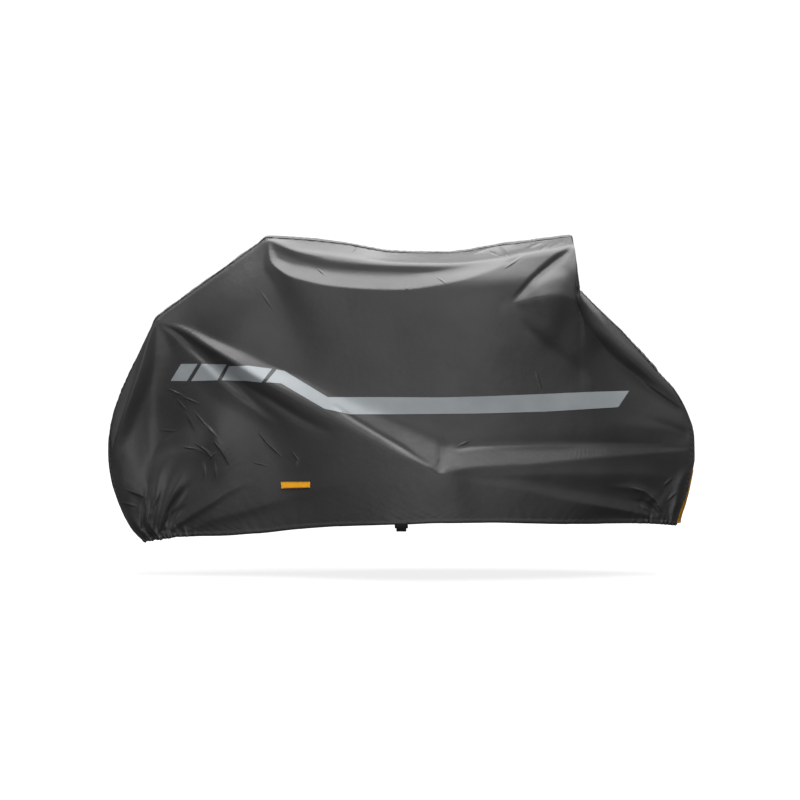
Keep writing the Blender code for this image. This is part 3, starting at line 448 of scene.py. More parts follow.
def panel_base(depths, side):
    """The taut shape of a panel as a fine grid, hem to seam along its second axis."""
    knots = along(SEAM[:, :2])
    u = spaced(FINE_U, lambda t: 1 + 0.8 * (np.exp(-(t / 0.07) ** 2) + np.exp(-((1 - t) / 0.07) ** 2)))
    v = spaced(FINE_V, lambda t: 1 + 1.6 * np.exp(-(t / 0.035) ** 2))
    seam, shoulder, hem = (smooth(knots, line, u) for line in (SEAM, SHOULDER, HEM))
    rise = v[:, None]

    def swell(edge, end):
        """How far an edge bulges past the straight line between its ends."""
        line = np.array(edge, float)
        line[0], line[-1] = hem[end, :2], shoulder[end, :2]
        return smooth(along(line), line, v) - (1 - rise) * line[0] - rise * line[-1]

    # the front edge's bulge fades fast, so that no column crosses the next under the lever
    uu = u[:, None, None]
    plan = ((1 - rise) * hem[:, None, :2] + rise * shoulder[:, None, :2]
            + (1 - uu) * swell(REAR_EDGE, 0) + uu ** 4 * swell(FRONT_EDGE, -1))
    depth = smooth(knots, np.column_stack([HEM[:, 2], depths, SHOULDER[:, 2]]), u)
    depth = smooth(LEVELS, depth.T, v).T
    lower = np.dstack([plan[:, :, 0], depth, plan[:, :, 1]])
    w = np.linspace(0, 1, FINE_W)[1:][None, :, None]
    start, end = shoulder[:, None, [0, 2, 1]], seam[:, None, [0, 2, 1]]
    grid = np.concatenate([lower, start + (end - start) * w], axis=1)
    grid[:, :, 1] *= side
    soften(grid, 16)
    outward = unit(np.cross(np.gradient(grid, axis=0), np.gradient(grid, axis=1)))
    if outward[FINE_U // 2, FINE_V // 2, 1] * side < 0:
        outward = -outward
    return grid, unit(soften(outward, 60)), u, knots


def panel(depths, folds, side, seed):
    """The outer and the inner face of a panel, and its outward directions."""
    grid, outward, u, knots = panel_base(depths, side)
    height = fold_height(folds, *seen(grid, side))
    # what never hangs quite flat
    x, h = grid[:, :, 0], grid[:, :, 2]
    height += 0.9 * value_noise(x + 0.5 * h, h, 150, seed)
    height += 0.35 * value_noise(x - 0.4 * h, h, 62, seed + 1)
    # the folds fade out towards the edges, sooner down the front slope
    fade = np.minimum(1, np.arange(FINE_U) / 7)
    fade = np.minimum(fade, fade[::-1])[:, None]
    sooner = np.clip((u - knots[LEVER_ROW]) / (knots[SLOPE_ROW] - knots[LEVER_ROW]), 0, 1)[:, None]
    left_over = np.arange(grid.shape[1])[::-1][None, :]
    rim = np.clip(left_over / (FINE_W + 12 * sooner), 0, 1)
    height = height * (fade * fade * (3 - 2 * fade)) * (rim * rim * (3 - 2 * rim))
    # the channel of the hem and its gathers
    rise = np.cumsum(np.linalg.norm(np.diff(grid, axis=1), axis=2), axis=1)
    rise = np.concatenate([np.zeros((FINE_U, 1)), rise], axis=1)
    run = lengths(grid[:, 0])[:, None]
    height += gathers(run, rise, run[-1, 0], seed + 2)
    channel = np.clip(rise / CHANNEL, 0, 1)
    bulge = 1.6 * np.sin(math.pi * channel) ** 0.8 * (channel < 1)
    # folds keep their place in the picture, so they push little to the rear or front
    push = unit(outward * np.array([0.25, 1, 1]))
    outer = grid + push * height[:, :, None] + outward * bulge[:, :, None]
    # the inner face keeps below every crease of the outer one
    low = height.copy()
    padded = np.pad(height, 1, mode="edge")
    for i in range(3):
        for j in range(3):
            low = np.minimum(low, padded[i:i + low.shape[0], j:j + low.shape[1]])
    low = low - SHEET - 1.2 * bulge
    return outer, grid + push * low[:, :, None], outward


def gathers(run, rise, total, seed):
    """The small folds that the elastic draws into the hem."""
    height = np.zeros_like(rise)
    for k, (at, wide, deep) in enumerate(GATHERS):
        spread = (run - at * total) / (1 + rise / 160)
        share = np.exp(-(spread / wide) ** 2)
        wobble = value_noise(spread, rise * 0.5, 26, seed + 7 * k)
        fine = np.sin(2 * math.pi * (spread / 13.5 + 0.45 * wobble))
        broad = np.sin(2 * math.pi * (spread / 31 + 0.5 * wobble) + k)
        height += deep * share * (0.8 * fine * np.exp(-rise / 22) + broad * np.exp(-rise / 55))
    return height


def rim_of(grid):
    """The seam line of a panel: up the rear edge, along the top, down the front."""
    return np.concatenate([grid[0, :, :], grid[1:-1, -1, :], grid[-1, ::-1, :]])


def pucker(outer, outward):
    """Draw a panel up a little along its seam, unevenly."""
    run = lengths(rim_of(outer))
    wave = np.sin(2 * math.pi * (run / 19 + 0.6 * value_noise(run, run * 0, 45, 5)))
    wave = 0.9 * wave * (0.5 + 0.5 * value_noise(run, run * 0, 70, 6))
    wave += 1.1 * value_noise(run, run * 0, 36, 8)
    rows, cols = outer.shape[:2]
    change = np.zeros((rows, cols))
    for k in range(5):
        share = math.exp(-(k / 2.2) ** 2)
        change[1:-1, cols - 1 - k] += share * wave[cols:cols + rows - 2]
        change[k, :] += share * wave[:cols] * 0.6
        change[rows - 1 - k, :] += share * wave[::-1][:cols] * 0.6
    change[:, :3] *= 0.3
    return outer + outward * change[:, :, None]


def gusset(right, left):
    """The outer and the inner face of the gusset between the two seams."""
    a, b = rim_of(right), rim_of(left)
    tangent = np.gradient((a + b) / 2, axis=0)
    lift = np.column_stack([-tangent[:, 2], np.zeros(len(a)), tangent[:, 0]])
    for _ in range(6):
        lift[1:-1] = (lift[:-2] + lift[2:] + 2 * lift[1:-1]) / 4
    lift = unit(lift)
    crown = 4 + 4 * np.clip((700 - a[:, 2]) / 350, 0, 1)
    run = lengths(a)
    rows = []
    for t in np.linspace(0, 1, STRIP_W):
        rise = 1 - (2 * t - 1) ** 2
        uneven = (2.2 * value_noise(run, run * 0 + 90 * t, 70, 21)
                  + 0.9 * value_noise(run + 30 * t, run * 0 + 90 * t, 27, 22))
        fade = min(1, 5 * min(t, 1 - t))
        rows.append(a + (b - a) * t + lift * (crown * rise + uneven * fade)[:, None])
    outer = np.stack(rows, axis=1)
    ends = np.minimum(run, run[-1] - run) / CHANNEL
    bulge = (1.6 * np.sin(math.pi * np.clip(ends, 0, 1)) ** 0.8 * (ends < 1))[:, None, None]
    outer = outer + lift[:, None, :] * bulge
    return outer, outer - lift[:, None, :] * (SHEET + 1.6 * bulge)


# ---------------------------------------------------------------- making meshes

def placed(points):
    """Points of the drawing in the scene's metres."""
    points = np.asarray(points, float).reshape(-1, 3)
    return (points - np.array([REST_X, 0, REST_H])) * MM


def editable(points, faces):
    """An editable mesh of points and faces."""
    work = bmesh.new()
    dots = [work.verts.new(point) for point in points]
    for face in faces:
        work.faces.new([dots[i] for i in face])
    return work


def taken(work, first=0):
    """The points and the faces of an editable mesh, numbered from the first."""
    work.verts.index_update()
    return ([tuple(vert.co) for vert in work.verts],
            [[first + vert.index for vert in face.verts] for face in work.faces])


def grid_faces(rows, cols, first=0):
    """The four-cornered faces of a grid of points."""
    i, j = np.meshgrid(np.arange(rows - 1), np.arange(cols - 1), indexing="ij")
    p = (first + i * cols + j).ravel()
    return np.column_stack([p, p + cols, p + cols + 1, p + 1]).tolist()


def sleeve(rings, sides, first=0):
    """The faces of a closed tube of rings of points."""
    last = first + (rings - 1) * sides
    faces = [(a + k, a + (k + 1) % sides, a + sides + (k + 1) % sides, a + sides + k)
             for a in range(first, last, sides) for k in range(sides)]
    return faces + [tuple(range(a, a + sides)) for a in (first, last)]


def add_piece(name, points, faces, material, smooth_angle=55):
    """A named object from points in the drawing's millimetres."""
    mesh = bpy.data.meshes.new(name)
    mesh.from_pydata(placed(points).tolist(), [], [list(f) for f in faces])
    work = bmesh.new()
    work.from_mesh(mesh)
    bmesh.ops.recalc_face_normals(work, faces=work.faces[:])
    work.to_mesh(mesh)
    work.free()
    mesh.polygons.foreach_set("use_smooth", [True] * len(mesh.polygons))
    mesh.set_sharp_from_angle(angle=math.radians(smooth_angle))
    mesh.materials.append(material)
    piece = bpy.data.objects.new(name, mesh)
    bpy.context.scene.collection.objects.link(piece)
    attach(piece, "root")
    return piece


def cloth_piece(name, outer, inner, material, skip=2):
    """A closed sheet whose inner face has fewer points than its outer one."""
    rows, cols = outer.shape[:2]
    inner = inner[::skip, ::skip]
    in_rows, in_cols = inner.shape[:2]
    count = rows * cols
    points = np.concatenate([outer.reshape(-1, 3), inner.reshape(-1, 3)])
    faces = grid_faces(rows, cols)
    faces += [[a, d, c, b] for a, b, c, d in grid_faces(in_rows, in_cols, count)]
    loop = [(0, j) for j in range(cols)]
    loop += [(i, cols - 1) for i in range(1, rows)]
    loop += [(rows - 1, j) for j in range(cols - 2, -1, -1)]
    loop += [(i, 0) for i in range(rows - 2, 0, -1)]
    for k in range(0, len(loop), skip):
        edge = [loop[(k + n) % len(loop)] for n in range(skip + 1)]
        face = [i * cols + j for i, j in edge]
        face += [count + (i // skip) * in_cols + j // skip for i, j in (edge[-1], edge[0])]
        faces.append(face)
    return add_piece(name, points, faces, material)


def film(name, outer, outlines, side, material, lift, thick):
    """A thin film that lies on the cloth, cut to outlines seen in the picture."""
    px, py = seen(outer, side)
    points, faces = [], []
    for outline in outlines:
        corners = np.array(outline, float)
        low, high = corners.min(axis=0) - 3, corners.max(axis=0) + 3
        rows, cols = np.nonzero((px > low[0]) & (px < high[0]) & (py > low[1]) & (py < high[1]))
        patch = outer[rows.min():rows.max() + 1, cols.min():cols.max() + 1]
        cut = editable(patch.reshape(-1, 3).tolist(), grid_faces(*patch.shape[:2]))
        middle = sight(*corners.mean(axis=0), side)
        for k in range(len(corners)):
            wall = np.cross(sight(*corners[k - 1], side), sight(*corners[k], side))
            wall *= -np.sign(wall @ middle)
            bmesh.ops.bisect_plane(cut, geom=cut.verts[:] + cut.edges[:] + cut.faces[:],
                                   plane_co=eye(side), plane_no=wall, clear_outer=True)
        more = taken(cut, len(points))
        points += more[0]
        faces += more[1]
        cut.free()
    work = editable(points, faces)
    bmesh.ops.remove_doubles(work, verts=work.verts[:], dist=0.05)
    work.normal_update()
    way = np.sign(sum(face.normal.y * face.calc_area() for face in work.faces)) * side
    out = np.array([vert.normal for vert in work.verts]) * way
    flat, faces = taken(work)
    flat = np.array(flat)
    count = len(flat)
    closed = faces + [[i + count for i in reversed(face)] for face in faces]
    for edge in work.edges:
        if len(edge.link_faces) == 1:
            a, b = (vert.index for vert in edge.verts)
            closed.append([a, b, b + count, a + count])
    work.free()
    points = np.concatenate([flat + out * (lift + thick), flat + out * lift])
    return add_piece(name, points, closed, material)


def tree_of(grid):
    """A search tree of the faces of a grid of points."""
    return BVHTree.FromPolygons(grid.reshape(-1, 3).tolist(), grid_faces(*grid.shape[:2]))


def hit(tree, start, way):
    """The first point of a surface along a ray, or nothing."""
    place = tree.ray_cast(Vector(start), Vector(way))[0]
    return None if place is None else np.array(place)


# ---------------------------------------------------------------- materials

def add_node(tree, kind, inputs=None, **settings):
    """A new node with its settings and its inputs, each a value or a socket to link."""
    made = tree.nodes.new("ShaderNode" + kind)
    for name, value in settings.items():
        setattr(made, name, value)
    for place, value in (inputs or {}).items():
        if isinstance(value, bpy.types.NodeSocket):
            tree.links.new(value, made.inputs[place])
        else:
            made.inputs[place].default_value = value
    return made


def sum_of(tree, operation, *values):
    """The outcome of a sum on values or sockets."""
    return add_node(tree, "Math", dict(enumerate(values)), operation=operation).outputs[0]


def object_place(tree):
    """The place in the object's own space."""
    return add_node(tree, "TexCoord").outputs["Object"]


def noise_height(tree, scale, detail, rough=0.5):
    """Noise in the object's own space."""
    return add_node(tree, "TexNoise", {"Vector": object_place(tree), "Scale": scale,
                                       "Detail": detail, "Roughness": rough}).outputs["Fac"]


def new_material(name, colour, rough, specular=0.5):
    """A material, its node tree and its shader."""
    material = bpy.data.materials.new(name)
    material.use_nodes = True
    shader = material.node_tree.nodes["Principled BSDF"]
    shader.inputs["Base Color"].default_value = (*colour, 1)
    shader.inputs["Roughness"].default_value = rough
    shader.inputs["Specular IOR Level"].default_value = specular
    return material, material.node_tree, shader


def tinted(tree, shader, wander, dark, light):
    """Let the colour wander between two tones."""
    ramp = add_node(tree, "ValToRGB", {"Fac": wander})
    for element, position, tone in zip(ramp.color_ramp.elements, (0.3, 0.7), (dark, light)):
        element.position = position
        element.color = (*tone, 1)
    tree.links.new(ramp.outputs["Color"], shader.inputs["Base Color"])


def rough_range(tree, shader, wander, low, high):
    """Let the roughness wander between two values."""
    spread = add_node(tree, "MapRange", {"Value": wander, "From Min": 0.3, "From Max": 0.7,
                                         "To Min": low, "To Max": high})
    tree.links.new(spread.outputs["Result"], shader.inputs["Roughness"])


def bumped(tree, shader, heights):
    """Lay one bump over another, each with its height, strength and depth."""
    last = {}
    for height, strength, depth in heights:
        bump = add_node(tree, "Bump", {"Height": height, "Strength": strength, "Distance": depth, **last})
        last = {"Normal": bump.outputs["Normal"]}
    tree.links.new(last["Normal"], shader.inputs["Normal"])


def weave(tree, count):
    """The height of a plain weave with the given number of threads in a metre."""
    parts = add_node(tree, "SeparateXYZ", {"Vector": object_place(tree)})
    turns = [sum_of(tree, "MULTIPLY", parts.outputs[axis], count * math.pi) for axis in ("X", "Z")]
    return sum_of(tree, "MULTIPLY", *[sum_of(tree, "SINE", turn) for turn in turns])


def crinkles(tree, spots):
    """The height of fine creases, each a ridge between two points of the drawing."""
    place = object_place(tree)
    total = None
    for (x0, h0), (x1, h1), wide, high in spots:
        length = math.hypot(x1 - x0, h1 - h0)
        turned = add_node(tree, "Mapping", {
            "Vector": place,
            "Location": (((x0 + x1) / 2 - REST_X) * MM, 0, ((h0 + h1) / 2 - REST_H) * MM),
            "Rotation": (0, -math.atan2(h1 - h0, x1 - x0), 0),
            "Scale": (length * MM * 0.6, 10, wide * MM)}, vector_type="TEXTURE")
        ridge = add_node(tree, "TexGradient", {"Vector": turned.outputs["Vector"]},
                         gradient_type="SPHERICAL")
        scaled = sum_of(tree, "MULTIPLY", ridge.outputs["Fac"], high)
        total = scaled if total is None else sum_of(tree, "ADD", total, scaled)
    return total


def cloth_material(spots):
    """Dark coated polyester with a satin face."""
    material, tree, shader = new_material("coated_cloth", (0.04, 0.039, 0.04), 0.4)
    tinted(tree, shader, noise_height(tree, 5, 3), (0.037, 0.036, 0.037), (0.043, 0.0418, 0.043))
    rough_range(tree, shader, noise_height(tree, 14, 4), 0.37, 0.43)
    bumped(tree, shader, [(noise_height(tree, 38, 4, 0.55), 0.5, 0.0012),
                          (crinkles(tree, spots), 1, 0.0022),
                          (weave(tree, 900), 0.25, 0.00008)])
    return material


def stripe_material():
    """Grey film with fine glass beads that throws light back."""
    material, tree, shader = new_material("stripe_film", (0.31, 0.335, 0.35), 0.42)
    tinted(tree, shader, noise_height(tree, 12, 4), (0.29, 0.315, 0.33), (0.33, 0.355, 0.37))
    grain = noise_height(tree, 900, 2)
    wear = noise_height(tree, 40, 5)
    rough_range(tree, shader, wear, 0.36, 0.46)
    bumped(tree, shader, [(grain, 0.25, 0.00015), (wear, 0.2, 0.0006)])
    return material


def orange_material():
    """Orange woven cloth."""
    orange = (1, 0.45, 0.01)
    material, tree, shader = new_material("orange_cloth", orange, 0.6, 0.35)
    tinted(tree, shader, noise_height(tree, 60, 3), (0.94, 0.4, 0.008), orange)
    bumped(tree, shader, [(weave(tree, 1100), 0.4, 0.00012)])
    return material


def thread_material():
    """Dark sewing thread."""
    material, tree, shader = new_material("thread", (0.045, 0.044, 0.044), 0.5, 0.4)
    tinted(tree, shader, noise_height(tree, 200, 2), (0.036, 0.035, 0.035), (0.055, 0.054, 0.054))
    return material


def webbing_material():
    """Dark woven strap."""
    material, tree, shader = new_material("strap_webbing", (0.022, 0.022, 0.022), 0.62, 0.4)
    tone = noise_height(tree, 160, 3)
    tinted(tree, shader, tone, (0.017, 0.017, 0.017), (0.028, 0.028, 0.028))
    rough_range(tree, shader, tone, 0.55, 0.72)
    bumped(tree, shader, [(weave(tree, 1400), 0.4, 0.0001)])
    return material


def plastic_material():
    """Dark moulded plastic with a fine grain and a little wear."""
    material, tree, shader = new_material("moulded_plastic", (0.018, 0.018, 0.018), 0.42)
    tone = noise_height(tree, 90, 4)
    tinted(tree, shader, tone, (0.015, 0.015, 0.015), (0.024, 0.024, 0.024))
    rough_range(tree, shader, tone, 0.36, 0.52)
    bumped(tree, shader, [(noise_height(tree, 1500, 2), 0.3, 0.00006)])
    return material


# ---------------------------------------------------------------- sewing

def band(tops, feet):
    """The four-cornered parts of a band between its upper and its lower line."""
    return [(tops[i], tops[i + 1], feet[i + 1], feet[i]) for i in range(len(tops) - 1)]


def tube(name, path, radius, sides, material):
    """A closed round cord along a path of points in millimetres."""
    run = unit(np.gradient(path, axis=0))
    across = unit(np.cross(run, np.array([0.0, 1.0, 0.0])))
    other = np.cross(run, across)
    turns = [2 * math.pi * k / sides for k in range(sides)]
    points = [path + (across * math.cos(turn) + other * math.sin(turn)) * radius[:, None]
              for turn in turns]
    return add_piece(name, np.stack(points, axis=1), sleeve(len(path), sides), material)


def seam_cord(name, outer, outward, material):
    """The rolled seam allowance that stands along the edge of a panel."""
    rim = rim_of(outer)
    run = lengths(rim)
    wobble = value_noise(run, run * 0, 16, 41)
    radius = 1.7 + 0.35 * wobble + 0.3 * value_noise(run, run * 0, 60, 42)
    return tube(name, rim + rim_of(outward) * (0.5 + 0.4 * wobble)[:, None], radius, 8, material)


def stitches(name, lines, length, gap, wide, material):
    """Small closed stitches laid along lines of points and their outward directions."""
    # the place along a stitch, how high it stands there and how wide it is to each side
    shape = ((0, 0.05, wide / 3), (0.2, 0.45, wide / 2), (0.8, 0.45, wide / 2), (1, 0.05, wide / 3))
    points, faces = [], []
    for path, out in lines:
        run = lengths(path)
        for a in np.arange(gap, run[-1] - length - gap, length + gap):
            here, there, up = (np.array([np.interp(at, run, part[:, k]) for k in range(3)])
                               for at, part in ((a, path), (a + length, path), (a, out)))
            cross = np.cross(unit(there - here), up)
            faces += sleeve(len(shape), 4, len(points))
            for share, high, half in shape:
                spot = here + (there - here) * share
                points += [spot - cross * half, spot + up * high, spot + cross * half, spot - up * 0.25]
    return add_piece(name, points, faces, material, 80)


def inset(lines, distance):
    """The point of each line that lies the given distance from its start."""
    gaps = np.linalg.norm(np.diff(lines, axis=1), axis=2)
    run = np.concatenate([np.zeros((len(lines), 1)), np.cumsum(gaps, axis=1)], axis=1)
    index = np.clip((run < distance).sum(axis=1) - 1, 0, lines.shape[1] - 2)
    rows = np.arange(len(lines))
    share = (distance - run[rows, index]) / np.maximum(gaps[rows, index], 1e-6)
    return lines[rows, index] + (lines[rows, index + 1] - lines[rows, index]) * share[:, None]


def seam_lines(outer, outward):
    """The stitch lines beside a seam: up the rear edge, along the top, down the front."""
    turned, way = outer.transpose(1, 0, 2), outward.transpose(1, 0, 2)
    return ((inset(turned, SEAM_STITCH)[:-8], way[:-8, 4]),
            (inset(outer[:, ::-1], SEAM_STITCH)[6:-6], outward[6:-6, -5]),
            (inset(turned[:, ::-1], SEAM_STITCH)[-9::-1], way[-9::-1, -5]))


def tab_grid(tree):
    """The face of the orange tab on the front of the gusset, foot first."""
    grid = np.zeros((TAB_ROWS, TAB_COLS, 3))
    for i, a in enumerate(np.linspace(0, 1, TAB_ROWS)):
        round_off = 1 - 0.1 * max(0, 1 - a / 0.05) ** 2
        half = (TAB_HALF_LOW + a * (TAB_HALF_HIGH - TAB_HALF_LOW)) * round_off
        for j, b in enumerate(np.linspace(-1, 1, TAB_COLS)):
            spot = hit(tree, (1500, b * half, TAB_LOW + a * (TAB_HIGH - TAB_LOW)), (-1, 0, 0))
            swell = 0.3 + TAB_BULGE * (1 - a) ** 1.6 + 0.4 * math.sin(9 * a + 2 * b)
            spot[0] += 1.2 + swell * (1 - abs(b) ** 3)
            grid[i, j] = spot
    return grid


def strap_route(tree, side, hem_h, end_h):
    """The middle line of half the strap, from inside the hem to the buckle."""
    route = []
    for rise in np.linspace(STRAP_SEWN, 3, 6):
        found = [hit(tree, (x, 0, hem_h + rise), (0, side, 0))
                 for x in np.linspace(-0.5, 0.5, 7) * STRAP_WIDE + STRAP_X]
        inside = min(abs(spot[1]) for spot in found if spot is not None)
        route.append((inside - 0.5 - STRAP_THICK / 2, hem_h + rise))
    last = route[-1][0]
    drop = hem_h - end_h
    for inward, share in ((1.5, 0.3), (7, 0.62), (18, 0.8)):
        route.append((last - inward, hem_h - share * drop))
    end = BUCKLE_LONG - BUCKLE_SLOT + 0.5
    for share in (0.25, 0.5, 0.75, 1):
        sag = 5 * math.sin(math.pi * share)
        route.append(((last - 18) * (1 - share) + end * share,
                      hem_h - (0.8 + 0.2 * share) * drop - sag))
    return np.array(route)


def webbing_strap(name, route, side, material):
    """A woven strap along a route in the Y and Z plane, its ribs part of its faces."""
    total = lengths(route)
    place = np.linspace(0, total[-1], int(total[-1]))
    line = smooth(total, route, place)
    run = unit(np.gradient(line, axis=0))
    flat = np.column_stack([-run[:, 1], run[:, 0]])
    across = np.linspace(-1, 1, 21)
    ribs = 0.16 * np.sin(2 * math.pi * (place[:, None] / 4 + abs(across)[None, :] * 1.5))
    edge = 1 - 0.55 * abs(across)[None, :] ** 8
    faces = []
    for way in (1, -1):
        off = way * (STRAP_THICK / 2 - 0.15 + ribs) * edge
        faces.append(np.dstack([off * 0 + STRAP_X + across[None, :] * STRAP_WIDE / 2,
                                (line[:, :1] + flat[:, :1] * off) * side,
                                line[:, 1:] + flat[:, 1:] * off]))
    return cloth_piece(name, *faces, material, 1), total[-1]


def buckle_half(name, way, height, material):
    """Half of the buckle: the socket lies towards -y, the plug towards +y."""
    points, faces = [], []

    def add(x0, x1, y0, y1, z0, z1, radius):
        """A block between two corners, its edges rounded to the radius."""
        low, high = np.sort([(x0, y0 * way, z0), (x1, y1 * way, z1)], axis=0) + (STRAP_X, 0, height)
        work = bmesh.new()
        bmesh.ops.create_cube(work, size=1)
        for vert in work.verts:
            vert.co = Vector((low + high) / 2 + np.array(vert.co) * (high - low))
        bmesh.ops.bevel(work, geom=work.edges[:], offset=radius, segments=4,
                        profile=0.5, affect="EDGES")
        more = taken(work, len(points))
        points.extend(more[0])
        faces.extend(more[1])
        work.free()

    # the ring that the strap goes round
    for side in (-1, 1):
        add(15.9 * side, 19.4 * side, 22, 30, -4.2, 4.2, 1.2)
    for face in (1, -1):
        add(-18, 18, 23, 30, 1.5 * face, 4.2 * face, 1)
    if way < 0:
        # the shell with its two windows and the raised grip
        add(-20, 20, 0.25, 8, -5, 5, 1.8)
        add(-14.4, 14.4, 6, 22, -4.9, 4.9, 1.2)
        add(-20, 20, 19.6, 24.2, -4.8, 4.8, 1.6)
    else:
        # the foot of the fork and its three prongs
        add(-20, 20, 0.25, 5, -5, 5, 1.6)
        add(-18.6, 18.6, 3, 24.2, -4.6, 4.6, 2)
        add(-2.4, 2.4, -16, 1, -1.8, 1.8, 0.6)
        for side in (-1, 1):
            add(15 * side, 20.3 * side, -19, -8.6, -3.1, 3.1, 1.2)
            add(11 * side, 14 * side, -18, 1, -2, 2, 0.6)
    # the grip's plates and ribs, below and above
    for face in (-1, 1):
        add(-10, 10, 8.5, 20, 4.5 * face, 5.4 * face, 0.35)
        for k in range(4):
            add(-8.5, 8.5, 9.6 + 2.7 * k, 10.9 + 2.7 * k, 5 * face, 6 * face, 0.4)
    return add_piece(name, points, faces, material, 40)


# ---------------------------------------------------------------- the cover

STRIPE = STRIPE_PARTS + tuple(band(*STRIPE_THIRD)) + tuple(band(*STRIPE_LONG))

right_outer, right_inner, right_out = panel(RIGHT_DEPTHS, RIGHT_FOLDS, -1, 11)
left_outer, left_inner, left_out = panel(LEFT_DEPTHS, LEFT_FOLDS, 1, 31)
right_outer = pucker(right_outer, right_out)
left_outer = pucker(left_outer, left_out)
for outer, inner, out in ((right_outer, right_inner, right_out), (left_outer, left_inner, left_out)):
    for edge in ((0, slice(None)), (-1, slice(None)), (slice(None), -1)):
        inner[edge] = outer[edge] - out[edge] * SHEET
strip_outer, strip_inner = gusset(right_outer, left_outer)

right_tree = tree_of(right_outer)
spots = []
for x0, y0, x1, y1, wide, high in CRINKLES:
    ends = [hit(right_tree, eye(-1), sight(x, y, -1)) for x, y in ((x0, y0), (x1, y1))]
    if ends[0] is not None and ends[1] is not None:
        spots.append(((ends[0][0], ends[0][2]), (ends[1][0], ends[1][2]), wide, high))

cloth = cloth_material(spots)
stripe_film = stripe_material()
orange_cloth = orange_material()
thread = thread_material()
webbing = webbing_material()
plastic = plastic_material()

panel_right = cloth_piece("cloth_panel_right", right_outer, right_inner, cloth)
panel_left = cloth_piece("cloth_panel_left", left_outer, left_inner, cloth)
strip = cloth_piece("cloth_gusset", strip_outer, strip_inner, cloth)
for piece, node in ((panel_right, "panel_right"), (panel_left, "panel_left"), (strip, "gusset")):
    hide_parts(node)

for name, outer, side in (("stripe_right", right_outer, -1), ("stripe_left", left_outer, 1)):
    film(name, outer, STRIPE, side, stripe_film, 0.15, 0.25)
label = film("label_patch", right_outer, [LABEL], -1, orange_cloth, 0.5, 0.7)
heights = [vert.co.z for vert in label.data.vertices]
for vert in label.data.vertices:
    vert.co.y -= LABEL_OFF * MM * (max(heights) - vert.co.z) / (max(heights) - min(heights))
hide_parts("side_label")

# the seam cords, and the stitches over the hem's channel and beside the seams
panels = (("right", right_outer, right_out), ("left", left_outer, left_out))
seams = [seam_cord("seam_" + name, outer, out, cloth) for name, outer, out in panels]
for name, outer, out in panels:
    hem_line = (inset(outer, CHANNEL + 1), out[:, 10])
    stitches("hem_stitches_" + name, [hem_line], 3.2, 1.4, 0.8, thread)
    stitches("seam_stitches_" + name, seam_lines(outer, out), 3.2, 1.4, 0.8, thread)

# the stitches round the label
corners = np.array(LABEL)
middle = corners.mean(axis=0)
corners = middle + (corners - middle) * np.array([0.955, 0.78])
rounds = []
for k in range(4):
    sides = [corners[k - 1] + (corners[k] - corners[k - 1]) * a for a in np.linspace(0, 1, 12)]
    path = np.array([hit(right_tree, eye(-1), sight(*spot, -1)) for spot in sides])
    out = np.tile(np.array([0.0, -1.0, 0.0]), (12, 1))
    off = 1.25 + LABEL_OFF * (max(heights) / MM + REST_H - path[:, 2:]) / 18
    rounds.append((path + out * off, out))
stitches("label_stitches", rounds, 2.6, 1, 0.8, thread)

tab_outer = tab_grid(tree_of(strip_outer))
tab = cloth_piece("front_tab_patch", tab_outer, tab_outer - np.array([1.0, 0.0, 0.0]), orange_cloth)
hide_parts("front_tab")
tab_lines = []
for part in (tab_outer[2:-2, 2], tab_outer[2:-2, -3], tab_outer[3, 2:-2], tab_outer[6, 2:-2],
             tab_outer[-4, 2:-2], tab_outer[-7, 2:-2]):
    tab_lines.append((part, np.tile(np.array([1.0, 0.0, 0.0]), (len(part), 1))))
stitches("tab_stitches", tab_lines, 3, 1.3, 0.8, thread)

near = np.argmin(abs(right_outer[:, 0, 0] - STRAP_X))
hem_h = float(max(outer[near - 3:near + 4, 0, 2].max() for outer in (right_outer, left_outer)))
buckle_h = (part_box("buckle_socket")[0][2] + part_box("buckle_socket")[1][2]) / 2 / MM + REST_H
for name, grid, side in (("right", right_inner, -1), ("left", left_inner, 1)):
    route = strap_route(tree_of(grid), side, hem_h, buckle_h)
    strap, strap_long = webbing_strap("webbing_" + name, route, side, webbing)
    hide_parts("strap_" + name)
for name, way in (("buckle_socket", -1), ("buckle_plug", 1)):
    half = buckle_half(name + "_detail", way, buckle_h, plastic)
    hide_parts(name)

# ---------------------------------------------------------------- stage

target = Vector(((VIEW_X - REST_X) * MM, 0, (VIEW_H - REST_H) * MM))
camera_data = bpy.data.cameras.new("camera")
camera = bpy.data.objects.new("camera", camera_data)
bpy.context.scene.collection.objects.link(camera)
away = Vector((0, -math.cos(VIEW_RISE), math.sin(VIEW_RISE))) * VIEW_FAR * MM
camera.location = target + away
camera.rotation_euler = (-away).to_track_quat("-Z", "Y").to_euler()
camera_data.sensor_width = 36
camera_data.lens = 36 * VIEW_FAR / (PICTURE * STEP)
camera_data.clip_end = 200
bpy.context.scene.camera = camera


def area_light(name, place, aim, wide, deep, radiance):
    """A rectangular light with the given radiance, in metres."""
    data = bpy.data.lights.new(name, "AREA")
    data.shape = "RECTANGLE"
    data.size = wide
    data.size_y = deep
    data.energy = radiance * wide * deep * math.pi
    light = bpy.data.objects.new(name, data)
    light.location = place
    light.rotation_euler = (Vector(aim) - Vector(place)).to_track_quat("-Z", "Y").to_euler()
    bpy.context.scene.collection.objects.link(light)


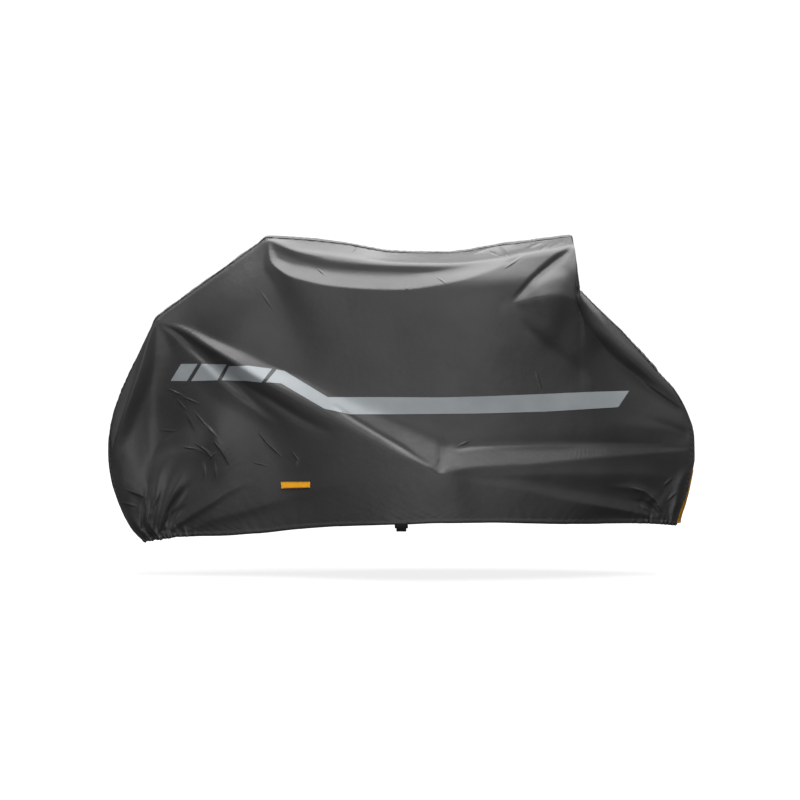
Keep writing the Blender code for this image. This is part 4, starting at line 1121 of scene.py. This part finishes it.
area_light("top_light", (0.6, -0.2, 2.6), (0.6, -0.2, -0.5), 4.2, 4.8, 7.4)
area_light("front_light", (0.1, -6.4, -0.9), (0.3, 0, -0.5), 4.2, 3.6, 1.75)
area_light("left_light", (-5.6, -1.6, -0.2), (-0.2, 0, -0.5), 3, 3, 1.1)
area_light("back_light", (0.3, 5, 1.6), (0.3, 0, -0.2), 6, 2, 1.2)

world = bpy.data.worlds.new("world")
bpy.context.scene.world = world
world.use_nodes = True
sky = world.node_tree.nodes["Background"]
sky.inputs["Color"].default_value = (1, 1, 1, 1)
sky.inputs["Strength"].default_value = 0.07


def stage_piece(name, material_name, make, **shape):
    """A plain mesh of the stage that casts no shadow: its node tree and its surface's socket."""
    mesh = bpy.data.meshes.new(name)
    work = bmesh.new()
    make(work, **shape)
    work.to_mesh(mesh)
    work.free()
    piece = bpy.data.objects.new(name, mesh)
    bpy.context.scene.collection.objects.link(piece)
    piece.location = (0.3, 0, -REST_H * MM)
    for ray in ("diffuse", "glossy", "transmission", "volume_scatter", "shadow"):
        setattr(piece, "visible_" + ray, False)
    material = bpy.data.materials.new(material_name)
    material.use_nodes = True
    tree = material.node_tree
    tree.nodes.remove(tree.nodes["Principled BSDF"])
    mesh.materials.append(material)
    return tree, tree.nodes["Material Output"].inputs["Surface"]


# the floor glows a little less round the cover, where it takes its soft shadow
tree, surface = stage_piece("floor", "pale_floor", bmesh.ops.create_circle,
                            cap_ends=True, segments=96, radius=34)
far = add_node(tree, "VectorMath", {0: object_place(tree)}, operation="LENGTH")
spread = add_node(tree, "MapRange", {"Value": far.outputs["Value"], "From Min": 1, "From Max": 2.6,
                                     "To Min": 0.84, "To Max": 1.05},
                  interpolation_type="SMOOTHSTEP")
glow = add_node(tree, "Emission", {"Strength": spread.outputs["Result"]})
matte = add_node(tree, "BsdfDiffuse", {"Color": (0.16, 0.16, 0.16, 1)})
both = add_node(tree, "AddShader", {0: glow.outputs["Emission"], 1: matte.outputs["BSDF"]})
tree.links.new(both.outputs["Shader"], surface)

tree, surface = stage_piece("backdrop", "backdrop_white", bmesh.ops.create_uvsphere,
                            u_segments=48, v_segments=24, radius=36)
tree.links.new(add_node(tree, "Emission", {"Strength": 1.05}).outputs["Emission"], surface)

bpy.context.scene.view_settings.view_transform = "Standard"
